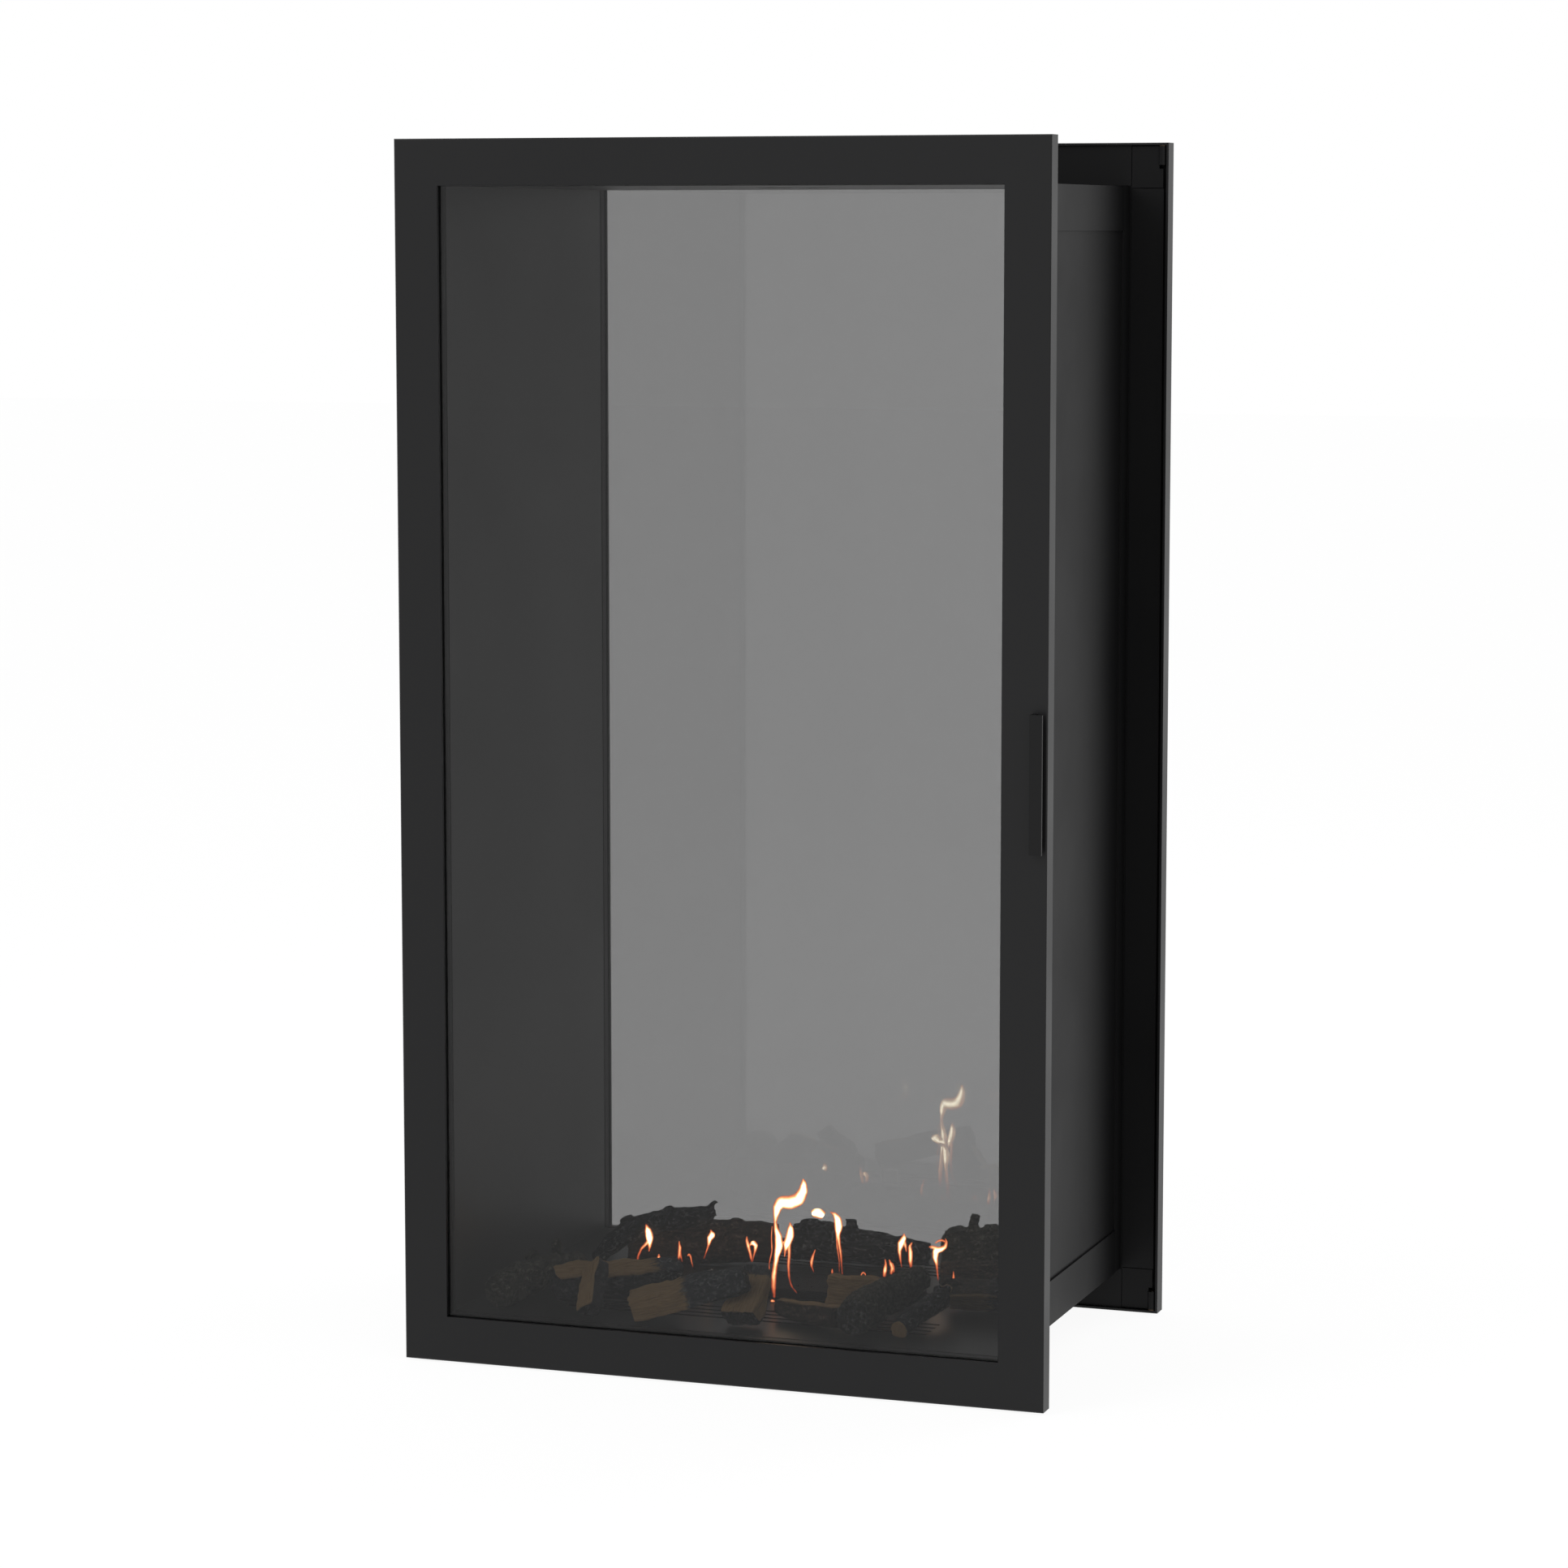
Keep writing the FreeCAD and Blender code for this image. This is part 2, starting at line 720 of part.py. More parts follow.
def pilot_burner():
    """Pilot hood with its flame bore, and the ignition electrode beside it."""
    x = bed_half * pilot_place_shares[0]
    y = bed_half * pilot_place_shares[1]
    hood = block(x - pilot_length / 2, x + pilot_length / 2, y - pilot_width / 2, y + pilot_width / 2,
                 floor_top, floor_top + pilot_height)
    bore = rod_z(x, y, pilot_bore, floor_top + pilot_height / 2, floor_top + pilot_height + overrun)
    electrode = rod_z(x - pilot_length / 2 - electrode_gap, y, electrode_radius, floor_top,
                      floor_top + pilot_height + electrode_rise)
    return group([hood.cut(bore), electrode])


def gas_valve():
    x1 = valve_left + valve_length
    y0 = valve_offset - valve_width / 2
    y1 = valve_offset + valve_width / 2
    body = block(valve_left, x1, y0, y1, valve_floor, valve_floor + valve_height)
    knob_foot = vec(valve_left + valve_length / 2, y0, valve_middle)
    knob = Part.makeCylinder(valve_knob_radius, valve_knob_height, knob_foot, vec(0, -1, 0))
    return body.fuse(knob)


def gas_pipe():
    """Bent pipe from the valve to the inlet in the underside of the burner head."""
    x_turn, y_end = burner_inlet_place()
    start = vec(valve_left + valve_length, valve_offset, valve_middle)
    corner = vec(x_turn, valve_offset, valve_middle)
    lower = vec(x_turn, y_end, valve_middle)
    top = vec(x_turn, y_end, burner_low + burner_wall)
    bend = min(pipe_bend, (top.z - lower.z) / 2)
    points = [start, corner, lower, top]
    edges = []
    last = start
    for index in (1, 2):
        before = (points[index - 1] - points[index]).normalize()
        after = (points[index + 1] - points[index]).normalize()
        enter = points[index] + before * bend
        leave = points[index] + after * bend
        middle = points[index] + (before + after) * bend * (1 - math.sqrt(0.5))
        edges.append(Part.LineSegment(last, enter).toShape())
        edges.append(Part.Arc(enter, middle, leave).toShape())
        last = leave
    edges.append(Part.LineSegment(last, top).toShape())
    path = Part.Wire(edges)
    outer = Part.Wire(Part.makeCircle(pipe_radius, start, vec(1, 0, 0)))
    inner = Part.Wire(Part.makeCircle(pipe_radius - pipe_wall, start, vec(1, 0, 0)))
    return path.makePipeShell([outer], True, True).cut(path.makePipeShell([inner], True, True))


def gas_inlet():
    """Threaded stub that leaves the burner box through its left wall, with its union nut."""
    x0 = -box_half_x - inlet_reach
    stub = rod_x(valve_offset, valve_middle, inlet_radius, x0, valve_left)
    nut = rod_x(valve_offset, valve_middle, inlet_nut_radius, -box_half_x - inlet_nut_length, -box_half_x)
    bore = rod_x(valve_offset, valve_middle, inlet_bore, x0 - overrun, valve_left + overrun)
    return stub.fuse(nut).cut(bore)


def feet():
    pieces = []
    for x, y in foot_places():
        pad = rod_z(x, y, foot_pad_radius, 0, foot_pad_height)
        stud = rod_z(x, y, foot_stud_radius, foot_pad_height, casing_low - foot_stud_gap)
        pieces.append(pad.fuse(stud))
    return group(pieces)


# Logs

def outline_points(kind):
    """Cross-section of a log as points in shares of its radius."""
    if kind == "split":
        return list(split_shares)
    if kind == "wedge":
        return list(wedge_shares)
    count = len(round_shares)
    points = []
    for index, share in enumerate(round_shares):
        angle = 2 * math.pi * index / count
        points.append((share * math.cos(angle), share * math.sin(angle)))
    return points


def log_section(centre, along, radius, kind):
    across = along.cross(vec(0, 0, 1)).normalize()
    upward = across.cross(along).normalize()
    points = [centre + across * (radius * u) + upward * (radius * v) for u, v in outline_points(kind)]
    return Part.makePolygon(points + points[:1])


def log_piece(shares, rise_share):
    """Tapered log between two points of the fire bed, bent up in its middle, lowered on to the fire floor."""
    start_shares, end_shares, start_radius_share, end_radius_share, kind = shares
    start = vec(*start_shares) * bed_half
    end = vec(*end_shares) * bed_half
    along = (end - start).normalize()
    start_radius = start_radius_share * bed_half
    end_radius = end_radius_share * bed_half
    middle = start + (end - start) * log_middle_share + vec(0, 0, rise_share * bed_half)
    middle_radius = (start_radius + end_radius) / 2 * log_swell_share
    sections = [log_section(start, along, start_radius, kind),
                log_section(middle, along, middle_radius, kind),
                log_section(end, along, end_radius, kind)]
    log = Part.makeLoft(sections, True, True)
    log.translate(vec(0, 0, floor_top + seat_gap - log.BoundBox.ZMin))
    return log


def build():
    os.makedirs("parts", exist_ok=True)
    for name, maker in (("door_frame", door_frame), ("glass", glass_pane), ("glass_tape", glass_tape),
                        ("glass_clips", glass_clips), ("door_screws", door_screws),
                        ("handle", pull_handle), ("hinge_pins", hinge_pins), ("rim", rim),
                        ("cross_strips", cross_strips), ("side_strips", side_strips),
                        ("rope_gasket", rope_gasket)):
        piece = maker()
        save("front_" + name, piece)
        save("rear_" + name, turned(piece))
    for name, maker in (("hinge_brackets", hinge_brackets), ("hinge_bushes", hinge_bushes),
                        ("corner_plates", corner_plates), ("catch_magnets", catch_magnets),
                        ("cover_screws", cover_screws)):
        pieces = maker()
        save(name, group(pieces + [turned(piece) for piece in pieces]))
    save("lid", lid())
    save("base", base())
    for side, sign in (("left", -1), ("right", 1)):
        save("side_panel_" + side, side_wall(sign, wall_half, panel_face, casing_end))
        save("liner_" + side, side_wall(sign, fire_half, wall_half, liner_end))
    save("ceiling", ceiling())
    save("fire_floor", fire_floor())
    flue_top = casing_high + flue_height
    save("flue_outer", collar(flue_outer_radius, flue_outer_foot, casing_high, casing_high, flue_top))
    save("flue_inner", collar(flue_inner_radius, flue_inner_foot, ceiling_low, wall_high, flue_top))
    save("burner_box", burner_box())
    save("burner_head", burner_head())
    save("pilot_burner", pilot_burner())
    save("gas_valve", gas_valve())
    save("gas_pipe", gas_pipe())
    save("gas_inlet", gas_inlet())
    save("feet", feet())
    for name, shares in log_shares.items():
        save(name, log_piece(shares, log_rise_shares.get(name, 0)))


build()
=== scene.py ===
"""Double-sided fireplace: stove paint, tinted glass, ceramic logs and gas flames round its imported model."""

import json
import math
import random

import bpy
import numpy as np
from mathutils import Matrix, Vector

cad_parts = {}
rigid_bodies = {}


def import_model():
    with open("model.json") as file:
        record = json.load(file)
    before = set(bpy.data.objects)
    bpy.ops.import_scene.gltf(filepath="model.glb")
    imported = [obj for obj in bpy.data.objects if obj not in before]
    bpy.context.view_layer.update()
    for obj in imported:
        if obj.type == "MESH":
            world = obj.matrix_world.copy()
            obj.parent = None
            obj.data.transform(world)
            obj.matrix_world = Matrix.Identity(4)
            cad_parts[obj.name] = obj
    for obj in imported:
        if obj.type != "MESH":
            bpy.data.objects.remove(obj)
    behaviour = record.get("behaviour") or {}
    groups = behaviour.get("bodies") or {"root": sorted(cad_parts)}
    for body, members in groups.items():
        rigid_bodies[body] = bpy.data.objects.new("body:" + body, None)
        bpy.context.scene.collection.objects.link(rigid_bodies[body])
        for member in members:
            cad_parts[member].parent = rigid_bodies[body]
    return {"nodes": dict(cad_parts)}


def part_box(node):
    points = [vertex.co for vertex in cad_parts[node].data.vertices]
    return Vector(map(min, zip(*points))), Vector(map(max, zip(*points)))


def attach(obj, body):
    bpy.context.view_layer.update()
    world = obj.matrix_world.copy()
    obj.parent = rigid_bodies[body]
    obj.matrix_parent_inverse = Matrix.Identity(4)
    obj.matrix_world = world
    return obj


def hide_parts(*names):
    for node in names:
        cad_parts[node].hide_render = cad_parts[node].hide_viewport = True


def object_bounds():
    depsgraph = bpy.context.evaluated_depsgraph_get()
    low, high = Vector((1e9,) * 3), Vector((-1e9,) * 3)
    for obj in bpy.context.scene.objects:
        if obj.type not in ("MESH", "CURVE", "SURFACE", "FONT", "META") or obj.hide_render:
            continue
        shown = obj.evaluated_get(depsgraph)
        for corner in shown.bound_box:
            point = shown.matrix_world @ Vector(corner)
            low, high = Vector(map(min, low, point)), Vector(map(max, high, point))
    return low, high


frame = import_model()
cad_low, cad_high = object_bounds()

bl_info = {
    "name": "Double-sided fireplace",
    "version": (1, 0, 0),
    "blender": (4, 5, 0),
    "location": "3D View > Sidebar > Fireplace",
    "description": "Stove paint, tinted glass, ceramic logs and flames for a see-through gas fireplace",
    "category": "Object",
}

MM = 0.001
ROOT_BODY = "casing"

# Places that the frame gives: the fire floor's upper side, half the length of the fire bed, and how far
# the middle of each pane stands from the middle of the casing
FIRE_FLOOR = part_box("fire_floor")[1].z
BED_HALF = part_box("liner_right")[0].x
PANE_MIDDLE = (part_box("rear_glass")[0].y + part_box("rear_glass")[1].y) / 2


def both(*names):
    """Nodes that the front and the rear side each have one of."""
    return [f"{side}_{name}" for side in ("front", "rear") for name in names]


# The CAD nodes that share each finish
FINISHES = {
    "frame_black": both("door_frame"),
    "handle_black": both("handle"),
    "rim_black": both("rim", "cross_strips", "side_strips") + [
        "corner_plates", "hinge_brackets", "cover_screws"],
    "casing_black": ["lid", "base", "side_panel_left", "side_panel_right", "burner_box"],
    "liner_black": ["liner_left", "liner_right", "ceiling"],
    "floor_black": ["fire_floor"],
    "glass": both("glass"),
    "rope": both("glass_tape", "rope_gasket"),
    "zinc": both("glass_clips", "door_screws", "hinge_pins") + ["pilot_burner"],
    "magnet": ["catch_magnets"],
    "bronze": ["hinge_bushes"],
    "galvanised": ["flue_outer", "flue_inner"],
    "burner_black": ["burner_head"],
    "valve_alloy": ["gas_valve", "gas_pipe"],
    "brass_pipe": ["gas_inlet"],
    "rubber_foot": ["feet"],
}

# Char grows from its first place along a log, as a share of the length, to its second
ALL_CHARRED = (-2, -1)
NO_CHAR = (2, 3)

# Logs. Start, end and radii are shares of half the length of the fire bed, from the middle of its floor.
# Bow is how far the middle strays sideways and up, in radii, and peak is where it strays most.
# Cuts are faces along the log: the turn of the normal from up in degrees, its distance in radii, and
# whether bare wood shows there. Knots are: place along the log, turn from up and lean towards the end
# in degrees, length and radius in radii. Stretch draws the bark out along the log. A sawn log shows
# bare wood at its ends.
LOGS = {
    "log_bark_left": dict(
        start=(-0.872, -0.632, 0.063), end=(-0.782, -0.087, 0.054), radii=(0.065, 0.052), finish="log_bark",
        bow=(0.1, 0.3),
        knots=((0.72, 0, 0, 0.95, 0.34), (0.56, -22, -25, 0.5, 0.5), (0.2, 20, 0, 0.15, 0.5))),
    "log_charred_top": dict(
        start=(-0.768, 0.022, 0.041), end=(-0.373, 0.177, 0.213), radii=(0.038, 0.041), finish="log_char",
        bow=(0, 1.5), peak=0.42, char=ALL_CHARRED,
        knots=((0.9, 0, 72, 1.3, 0.34), (0.9, 180, 80, 0.75, 0.5), (0.36, 0, 0, 0.35, 0.7),
               (0.7, 10, 0, 0.25, 0.6))),
    "log_back": dict(
        start=(-0.692, 0.163, 0.079), end=(-0.172, 0.349, 0.076), radii=(0.079, 0.076), finish="log_brown",
        bow=(0, 0.03), knots=((0.71, 0, 0, 0.12, 0.36), (0.25, 60, 0, 0.1, 0.4))),
    "log_charred_back": dict(
        start=(-0.142, 0.403, 0.079), end=(0.365, 0.469, 0.052), radii=(0.076, 0.049), finish="log_char",
        bow=(0, 0.1), char=ALL_CHARRED,
        knots=((0.42, 0, 0, 0.56, 0.42), (0.13, 0, 0, 0.32, 0.8), (0.28, 0, 0, 0.36, 0.6))),
    "log_right_back": dict(
        start=(0.431, 0.425, 0.074), end=(0.946, 0.480, 0.087), radii=(0.071, 0.087), finish="log_bark",
        bow=(0, 0.05), knots=((0.2, 0, 8, 0.68, 0.28), (0.1, 10, 0, 0.1, 0.6), (0.36, 0, 0, 0.12, 0.5))),
    "log_brown_right": dict(
        start=(0.501, 0.180, 0.049), end=(0.940, 0.240, 0.049), radii=(0.049, 0.049), finish="log_brown",
        bow=(0, 0.1)),
    "log_right_front": dict(
        start=(0.638, -0.163, 0.065), end=(0.940, -0.093, 0.065), radii=(0.065, 0.065), finish="log_brown",
        cuts=((8, 0.55, False), (138, 0.6, True)), bow=(0, 0.1), char=(0.15, 0.8),
        knots=((0.12, 30, -40, 0.35, 0.4),)),
    "log_split_left": dict(
        start=(-0.700, -0.526, 0.071), end=(-0.349, -0.229, 0.063), radii=(0.071, 0.061), finish="log_split",
        cuts=((24, 0.74, True), (78, 0.84, False)), char=(0.66, 0.95)),
    "log_split_end_on": dict(
        start=(-0.512, -0.681, 0.043), end=(-0.559, -0.485, 0.158), radii=(0.053, 0.047), finish="log_split",
        cuts=((-36, 0.45, True), (46, 0.62, False), (160, 0.85, False)), bow=(0, 0.1)),
    "log_split_front": dict(
        start=(-0.366, -0.640, 0.068), end=(0.030, -0.561, 0.183), radii=(0.073, 0.048), finish="log_split",
        cuts=((12, 0.66, True), (84, 0.62, True), (180, 0.8, False)), bow=(0, 0.05), char=(0.38, 0.56)),
    "log_stump": dict(
        start=(0.028, -0.620, 0.070), end=(0.010, -0.398, 0.185), radii=(0.080, 0.050), finish="log_split",
        cuts=((-4, 0.28, True), (64, 0.84, True), (180, 0.75, False)), char=(0.62, 0.95)),
    "log_reddish": dict(
        start=(0.104, -0.436, 0.033), end=(0.358, -0.558, 0.048), radii=(0.032, 0.052), finish="log_brown",
        cuts=((66, 0.7, False), (-6, 0.72, True))),
    "log_tan_block": dict(
        start=(0.223, -0.248, 0.063), end=(0.403, -0.234, 0.063), radii=(0.065, 0.065), finish="log_split",
        cuts=((72, 0.4, True), (-6, 0.86, True), (180, 0.8, False)), sawn=True),
    "log_diagonal": dict(
        start=(0.431, -0.621, 0.070), end=(0.493, -0.054, 0.086), radii=(0.072, 0.052), finish="log_bark",
        bow=(0, 0.06), stretch=0.7, char=(0.1, -0.1)),
    "log_dark_branch": dict(
        start=(0.589, -0.591, 0.035), end=(0.654, -0.294, 0.082), radii=(0.035, 0.038), finish="log_char",
        bow=(0, 0.3), char=ALL_CHARRED, sawn=True,
        knots=((0.86, 30, 50, 0.9, 0.55), (0.9, -25, 35, 0.5, 0.5))),
}

# Flames. The foot is in millimetres from the middle of the fire floor. A stroke's points are sideways
# and up from the foot, with the tongue's half width there, all in millimetres.
FLAMES = {
    "left_teardrop": ((-224, 15, 14), (
        ((0, 0, 1.8), (2, 10, 1.6), (6, 19, 1.8), (12, 25, 2.3), (16, 30, 3)),
        ((16, 15, 0.7), (17, 22, 2.3), (17, 34, 5.5), (15, 43, 4.6), (13, 49, 2.3), (12, 52, 0.5)))),
    "left_nub": ((-195, 18, 14), (((0, 0, 3.6), (0, 5, 3.9), (1, 9, 2.3), (1, 13, 0.5)),)),
    "left_candle": ((-169, 40, 14), (
        ((-6, 0, 1.1), (-4, 9, 2.3), (-3, 19, 2.3), (-4, 24, 1.4), (-4, 28, 0.5)),
        ((0, 0, 0.7), (-2, 7, 1.4), (-3, 14, 1.8)))),
    "left_hook": ((-145, 16, 14), (
        ((0, 0, 0.5), (-2, 8, 0.9), (-3, 14, 1.4), (-5, 17, 1.8), (-7, 15, 0.9)),)),
    "left_torch": ((-139, 42, 20), (
        ((0, 0, 0.5), (3, 9, 1.1), (6, 18, 1.8), (8, 28, 4.1), (11, 32, 4.6), (10, 36, 2.3),
         (9, 39, 0.5)),)),
    "left_spark": ((-96, 18, 14), (((0, 0, 1.3), (2, 1, 2.4), (4, 0, 1.3)),)),
    "twin_horns": ((-71, 42, 20), (
        ((0, 0, 0.5), (-1, 5, 2.1), (-3, 14, 2.1), (-5, 22, 2.6), (-7, 30, 2.1), (-7, 35, 0.5)),
        ((1, 2, 0.5), (2, 8, 1), (4, 16, 2.1), (5, 23, 3.1), (1, 27, 3.7), (-3, 23, 1.3)))),
    "thin_spark": ((-38, 9, 14), (((0, 0, 0.5), (-1, 5, 1.3), (-1, 10, 0.5)),)),
    "main_flame": ((4, -82, 6), (
        ((0, 0, 1.6), (-1, 10, 3.1), (-1, 27, 3.7), (1, 42, 3.1), (3, 55, 3.7), (6, 68, 5.7), (5, 81, 4.7),
         (2, 91, 3.1), (1, 100, 2.2), (2, 108, 3.6), (4, 119, 6.2), (9, 126, 8), (20, 125, 9),
         (31, 129, 8.6), (37, 140, 6.6), (38, 150, 4), (37, 156, 1.4)),
        ((13, 54, 0.8), (14, 62, 2.1), (16, 70, 4.7), (20, 81, 5.7), (21, 91, 4.2), (20, 99, 0.8)),
        ((29, 6, 0.5), (22, 15, 1.3), (19, 26, 1.6), (18, 42, 2.1), (19, 55, 2.1), (19, 70, 2.6)),
        ((6, 68, 2.1), (11, 73, 2.1), (16, 73, 2.1)),
        ((-6, 22, 0.6), (-7, 44, 0.9), (-3, 62, 1.2), (-4, 80, 1), (-3, 94, 0.5)))),
    "main_ember": ((1, -88, 2), (((0, 0, 1.3), (2, 1, 2.4), (5, 0, 1.3)),)),
    "floating_blob": ((36, 20, 94), (((-15, 4, 3.6), (-8, 6, 8.4), (0, 1, 5.4)),)),
    "crescent": ((16, 40, 14), (((0, 0, 0.5), (-3, 8, 1.6), (-3, 14, 2.4), (-1, 22, 1.8), (2, 30, 0.5)),)),
    "tall_hook": ((55, 42, 14), (
        ((0, 0, 0.8), (-1, 13, 1.3), (-2, 26, 1.8), (-4, 39, 2.1), (-6, 52, 3.1), (-5, 64, 5.7), (-6, 73, 5),
         (-10, 80, 3), (-16, 83, 0.8)),
        ((-4, 3, 0.5), (-4, 18, 0.8), (-7, 37, 1), (-8, 52, 0.8)))),
    "small_spike": ((43, 36, 14), (((0, 0, 1.6), (0, 4, 1.6), (0, 7, 0.5)),)),
    "small_arch": ((87, 27, 14), (((0, 0, 0.5), (-1, 5, 1), (2, 8, 1.3), (5, 5, 1), (5, 1, 0.5)),)),
    "right_candle": ((113, 42, 15), (((0, 0, 2.4), (1, 9, 2.9), (2, 17, 1.8), (1, 23, 0.5)),)),
    "right_pair": ((122, 42, 19), (
        ((0, 0, 2.1), (2, 8, 2.6), (0, 14, 2.4), (-2, 19, 0.8)), ((4, 2, 0.8), (4, 9, 1.6), (2, 14, 1.3)))),
    "right_torch": ((137, 42, 29), (
        ((0, 0, 0.5), (-2, 12, 1.6), (-3, 22, 2.6), (-1, 32, 4.7), (3, 39, 3.7), (3, 45, 0.8)),
        ((6, 21, 0.8), (5, 28, 2.1), (3, 35, 2.6)))),
    "right_bar": ((150, 42, 29), (
        ((0, 0, 1.8), (-1, 10, 3.1), (-1, 21, 3.1), (-2, 29, 2.4), (1, 34, 0.8)),)),
    "swan": ((187, 42, 16), (
        ((0, 0, 0.8), (-1, 10, 1.3), (-2, 21, 2.1), (-4, 30, 3.7), (-3, 39, 4.7), (4, 41, 3.7), (9, 44, 2.9),
         (11, 51, 1.8), (9, 55, 0.5)),
        ((-12, 44, 1), (-8, 44, 2.4), (-3, 42, 3.1)),
        ((-4, 49, 0.8), (0, 52, 1.6), (5, 53, 1.8), (9, 51, 1.3)))),
    "last_drop": ((208, 42, 15), (((0, 0, 1.6), (0, 4, 2.1), (0, 10, 1), (0, 14, 0.4)),)),
}


# Settings that a user would change

class StageSettings(bpy.types.PropertyGroup):
    camera_place: bpy.props.FloatVectorProperty(
        name="Camera place", description="Where the camera stands", size=3, subtype="TRANSLATION",
        default=(1.9229, -5.5333, 1.4378))
    camera_yaw: bpy.props.FloatProperty(
        name="Camera yaw", description="Turn of the camera to its left from straight ahead", subtype="ANGLE",
        default=math.radians(19.27))
    camera_tilt: bpy.props.FloatProperty(
        name="Camera tilt", description="How far the camera looks down", subtype="ANGLE",
        default=math.radians(6.9))
    lens: bpy.props.FloatProperty(
        name="Lens", description="Focal length on a 36 mm sensor, in millimetres", default=104.7, min=10)
    floor_size: bpy.props.FloatProperty(
        name="Floor size", description="Side of the studio floor", unit="LENGTH", default=60)
    ambient: bpy.props.FloatProperty(
        name="Ambient light", description="Strength of the light from all round", default=0.62, min=0)
    key_power: bpy.props.FloatProperty(
        name="Key lamp", description="Power of the lamp before the fireplace", unit="POWER", default=70)
    fill_power: bpy.props.FloatProperty(
        name="Fill lamp", description="Power of the lamp behind the fireplace", unit="POWER", default=45)


class SteelSettings(bpy.types.PropertyGroup):
    frame_colour: bpy.props.FloatVectorProperty(
        name="Frame paint", description="Colour of the door frames", size=3, subtype="COLOR", min=0, max=1,
        default=(0.0085, 0.0085, 0.009))
    casing_colour: bpy.props.FloatVectorProperty(
        name="Casing paint", description="Colour of the casing", size=3, subtype="COLOR", min=0, max=1,
        default=(0.0055, 0.0055, 0.0058))
    liner_colour: bpy.props.FloatVectorProperty(
        name="Liner paint", description="Colour of the firebox walls", size=3, subtype="COLOR", min=0, max=1,
        default=(0.016, 0.016, 0.016))
    paint_roughness: bpy.props.FloatProperty(
        name="Paint roughness", description="Roughness of the stove paint", subtype="FACTOR", min=0, max=1,
        default=0.42)


class GlassSettings(bpy.types.PropertyGroup):
    tint: bpy.props.FloatProperty(
        name="Tint", description="Share of light that one face of a pane lets through", subtype="FACTOR",
        min=0, max=1, default=0.68)
    plain_mirror: bpy.props.FloatProperty(
        name="Plain mirror", description="Share that a plain face of a pane mirrors head on",
        subtype="FACTOR", min=0, max=1, default=0.017)
    coated_mirror: bpy.props.FloatProperty(
        name="Coated mirror", description="Share that a pane's coated fire side mirrors head on",
        subtype="FACTOR", min=0, max=1, default=0.1)


class LogSettings(bpy.types.PropertyGroup):
    voxel: bpy.props.FloatProperty(
        name="Mesh size", description="Edge length of the logs' faces", unit="LENGTH", default=1.9 * MM)
    bark_depth: bpy.props.FloatProperty(
        name="Bark depth", description="Depth of the furrows in the bark", unit="LENGTH", default=3.2 * MM)
    char_depth: bpy.props.FloatProperty(
        name="Char depth", description="Depth of the cracks in char", unit="LENGTH", default=3.6 * MM)
    grain_depth: bpy.props.FloatProperty(
        name="Grain depth", description="Depth of the fibres of bare wood", unit="LENGTH", default=1.0 * MM)
    wander: bpy.props.FloatProperty(
        name="Wander", description="How far a log strays from straight", unit="LENGTH", default=8 * MM)
    lumps: bpy.props.FloatProperty(
        name="Lumps", description="Height of the swellings on a log", unit="LENGTH", default=7 * MM)


class FlameSettings(bpy.types.PropertyGroup):
    strength: bpy.props.FloatProperty(
        name="Strength", description="Brightness of a flame's core", default=12, min=0)
    thinness: bpy.props.FloatProperty(
        name="Thinness", description="Depth of a tongue as a share of its width", subtype="FACTOR", min=0.1,
        max=1, default=0.6)
    turn: bpy.props.FloatProperty(
        name="Turn", description="Turn of the tongues' broad side from the glass", subtype="ANGLE",
        default=math.radians(19.27))
    spread: bpy.props.FloatProperty(
        name="Spread", description="Width of the tongues against their listed width", default=1.05, min=0.1)


# Small tools for node trees

WHITE = (1, 1, 1)


def new_material(name):
    mat = bpy.data.materials.new(name)
    mat.use_nodes = True
    mat.node_tree.nodes.clear()
    return mat, mat.node_tree


def add(tree, kind, inputs=None, **settings):
    """Adds a shader node; inputs gives its sockets a value or a link."""
    node = tree.nodes.new("ShaderNode" + kind)
    for name, value in settings.items():
        setattr(node, name, value)
    for name, value in (inputs or {}).items():
        socket = node.inputs[name]
        if isinstance(value, bpy.types.NodeSocket):
            tree.links.new(value, socket)
        elif socket.type == "RGBA":
            socket.default_value = (*value, 1.0)
        else:
            socket.default_value = value
    return node


def object_place(tree):
    return add(tree, "TexCoord").outputs["Object"]


def scaled(tree, place, scale):
    return add(tree, "Mapping", {"Vector": place, "Scale": scale}).outputs[0]


def noise(tree, place, scale, detail=3.0, roughness=0.55, distortion=0.0):
    return add(tree, "TexNoise", {"Vector": place, "Scale": scale, "Detail": detail, "Roughness": roughness,
                                  "Distortion": distortion}).outputs["Fac"]


def spread(tree, value, low, high, to_low=0.0, to_high=1.0):
    """Maps value from low..high to to_low..to_high, held at the ends."""
    return add(tree, "MapRange", {"Value": value, "From Min": low, "From Max": high, "To Min": to_low,
                                  "To Max": to_high}).outputs[0]


def calc(tree, operation, a, b=0.0):
    return add(tree, "Math", {0: a, 1: b}, operation=operation).outputs[0]


def blend(tree, share, a, b):
    """Colour a where share is 0 and colour b where it is 1."""
    return add(tree, "Mix", {"Factor": share, "A": a, "B": b}, data_type="RGBA").outputs["Result"]


def attribute(tree, name, output="Fac"):
    return add(tree, "Attribute", attribute_name=name).outputs[output]


def finish_material(mat, surface):
    add(mat.node_tree, "OutputMaterial", {"Surface": surface.outputs[0]})
    return mat


def principled(mat, inputs):
    """Ends a material in one shader with these inputs."""
    return finish_material(mat, add(mat.node_tree, "BsdfPrincipled", inputs))


def bump(tree, height, amount):
    strength, depth = amount
    return add(tree, "Bump", {"Height": height, "Strength": strength, "Distance": depth}).outputs[0]


# Materials of the metal parts. Pattern scales are waves per metre, and a bump has a strength and a depth.

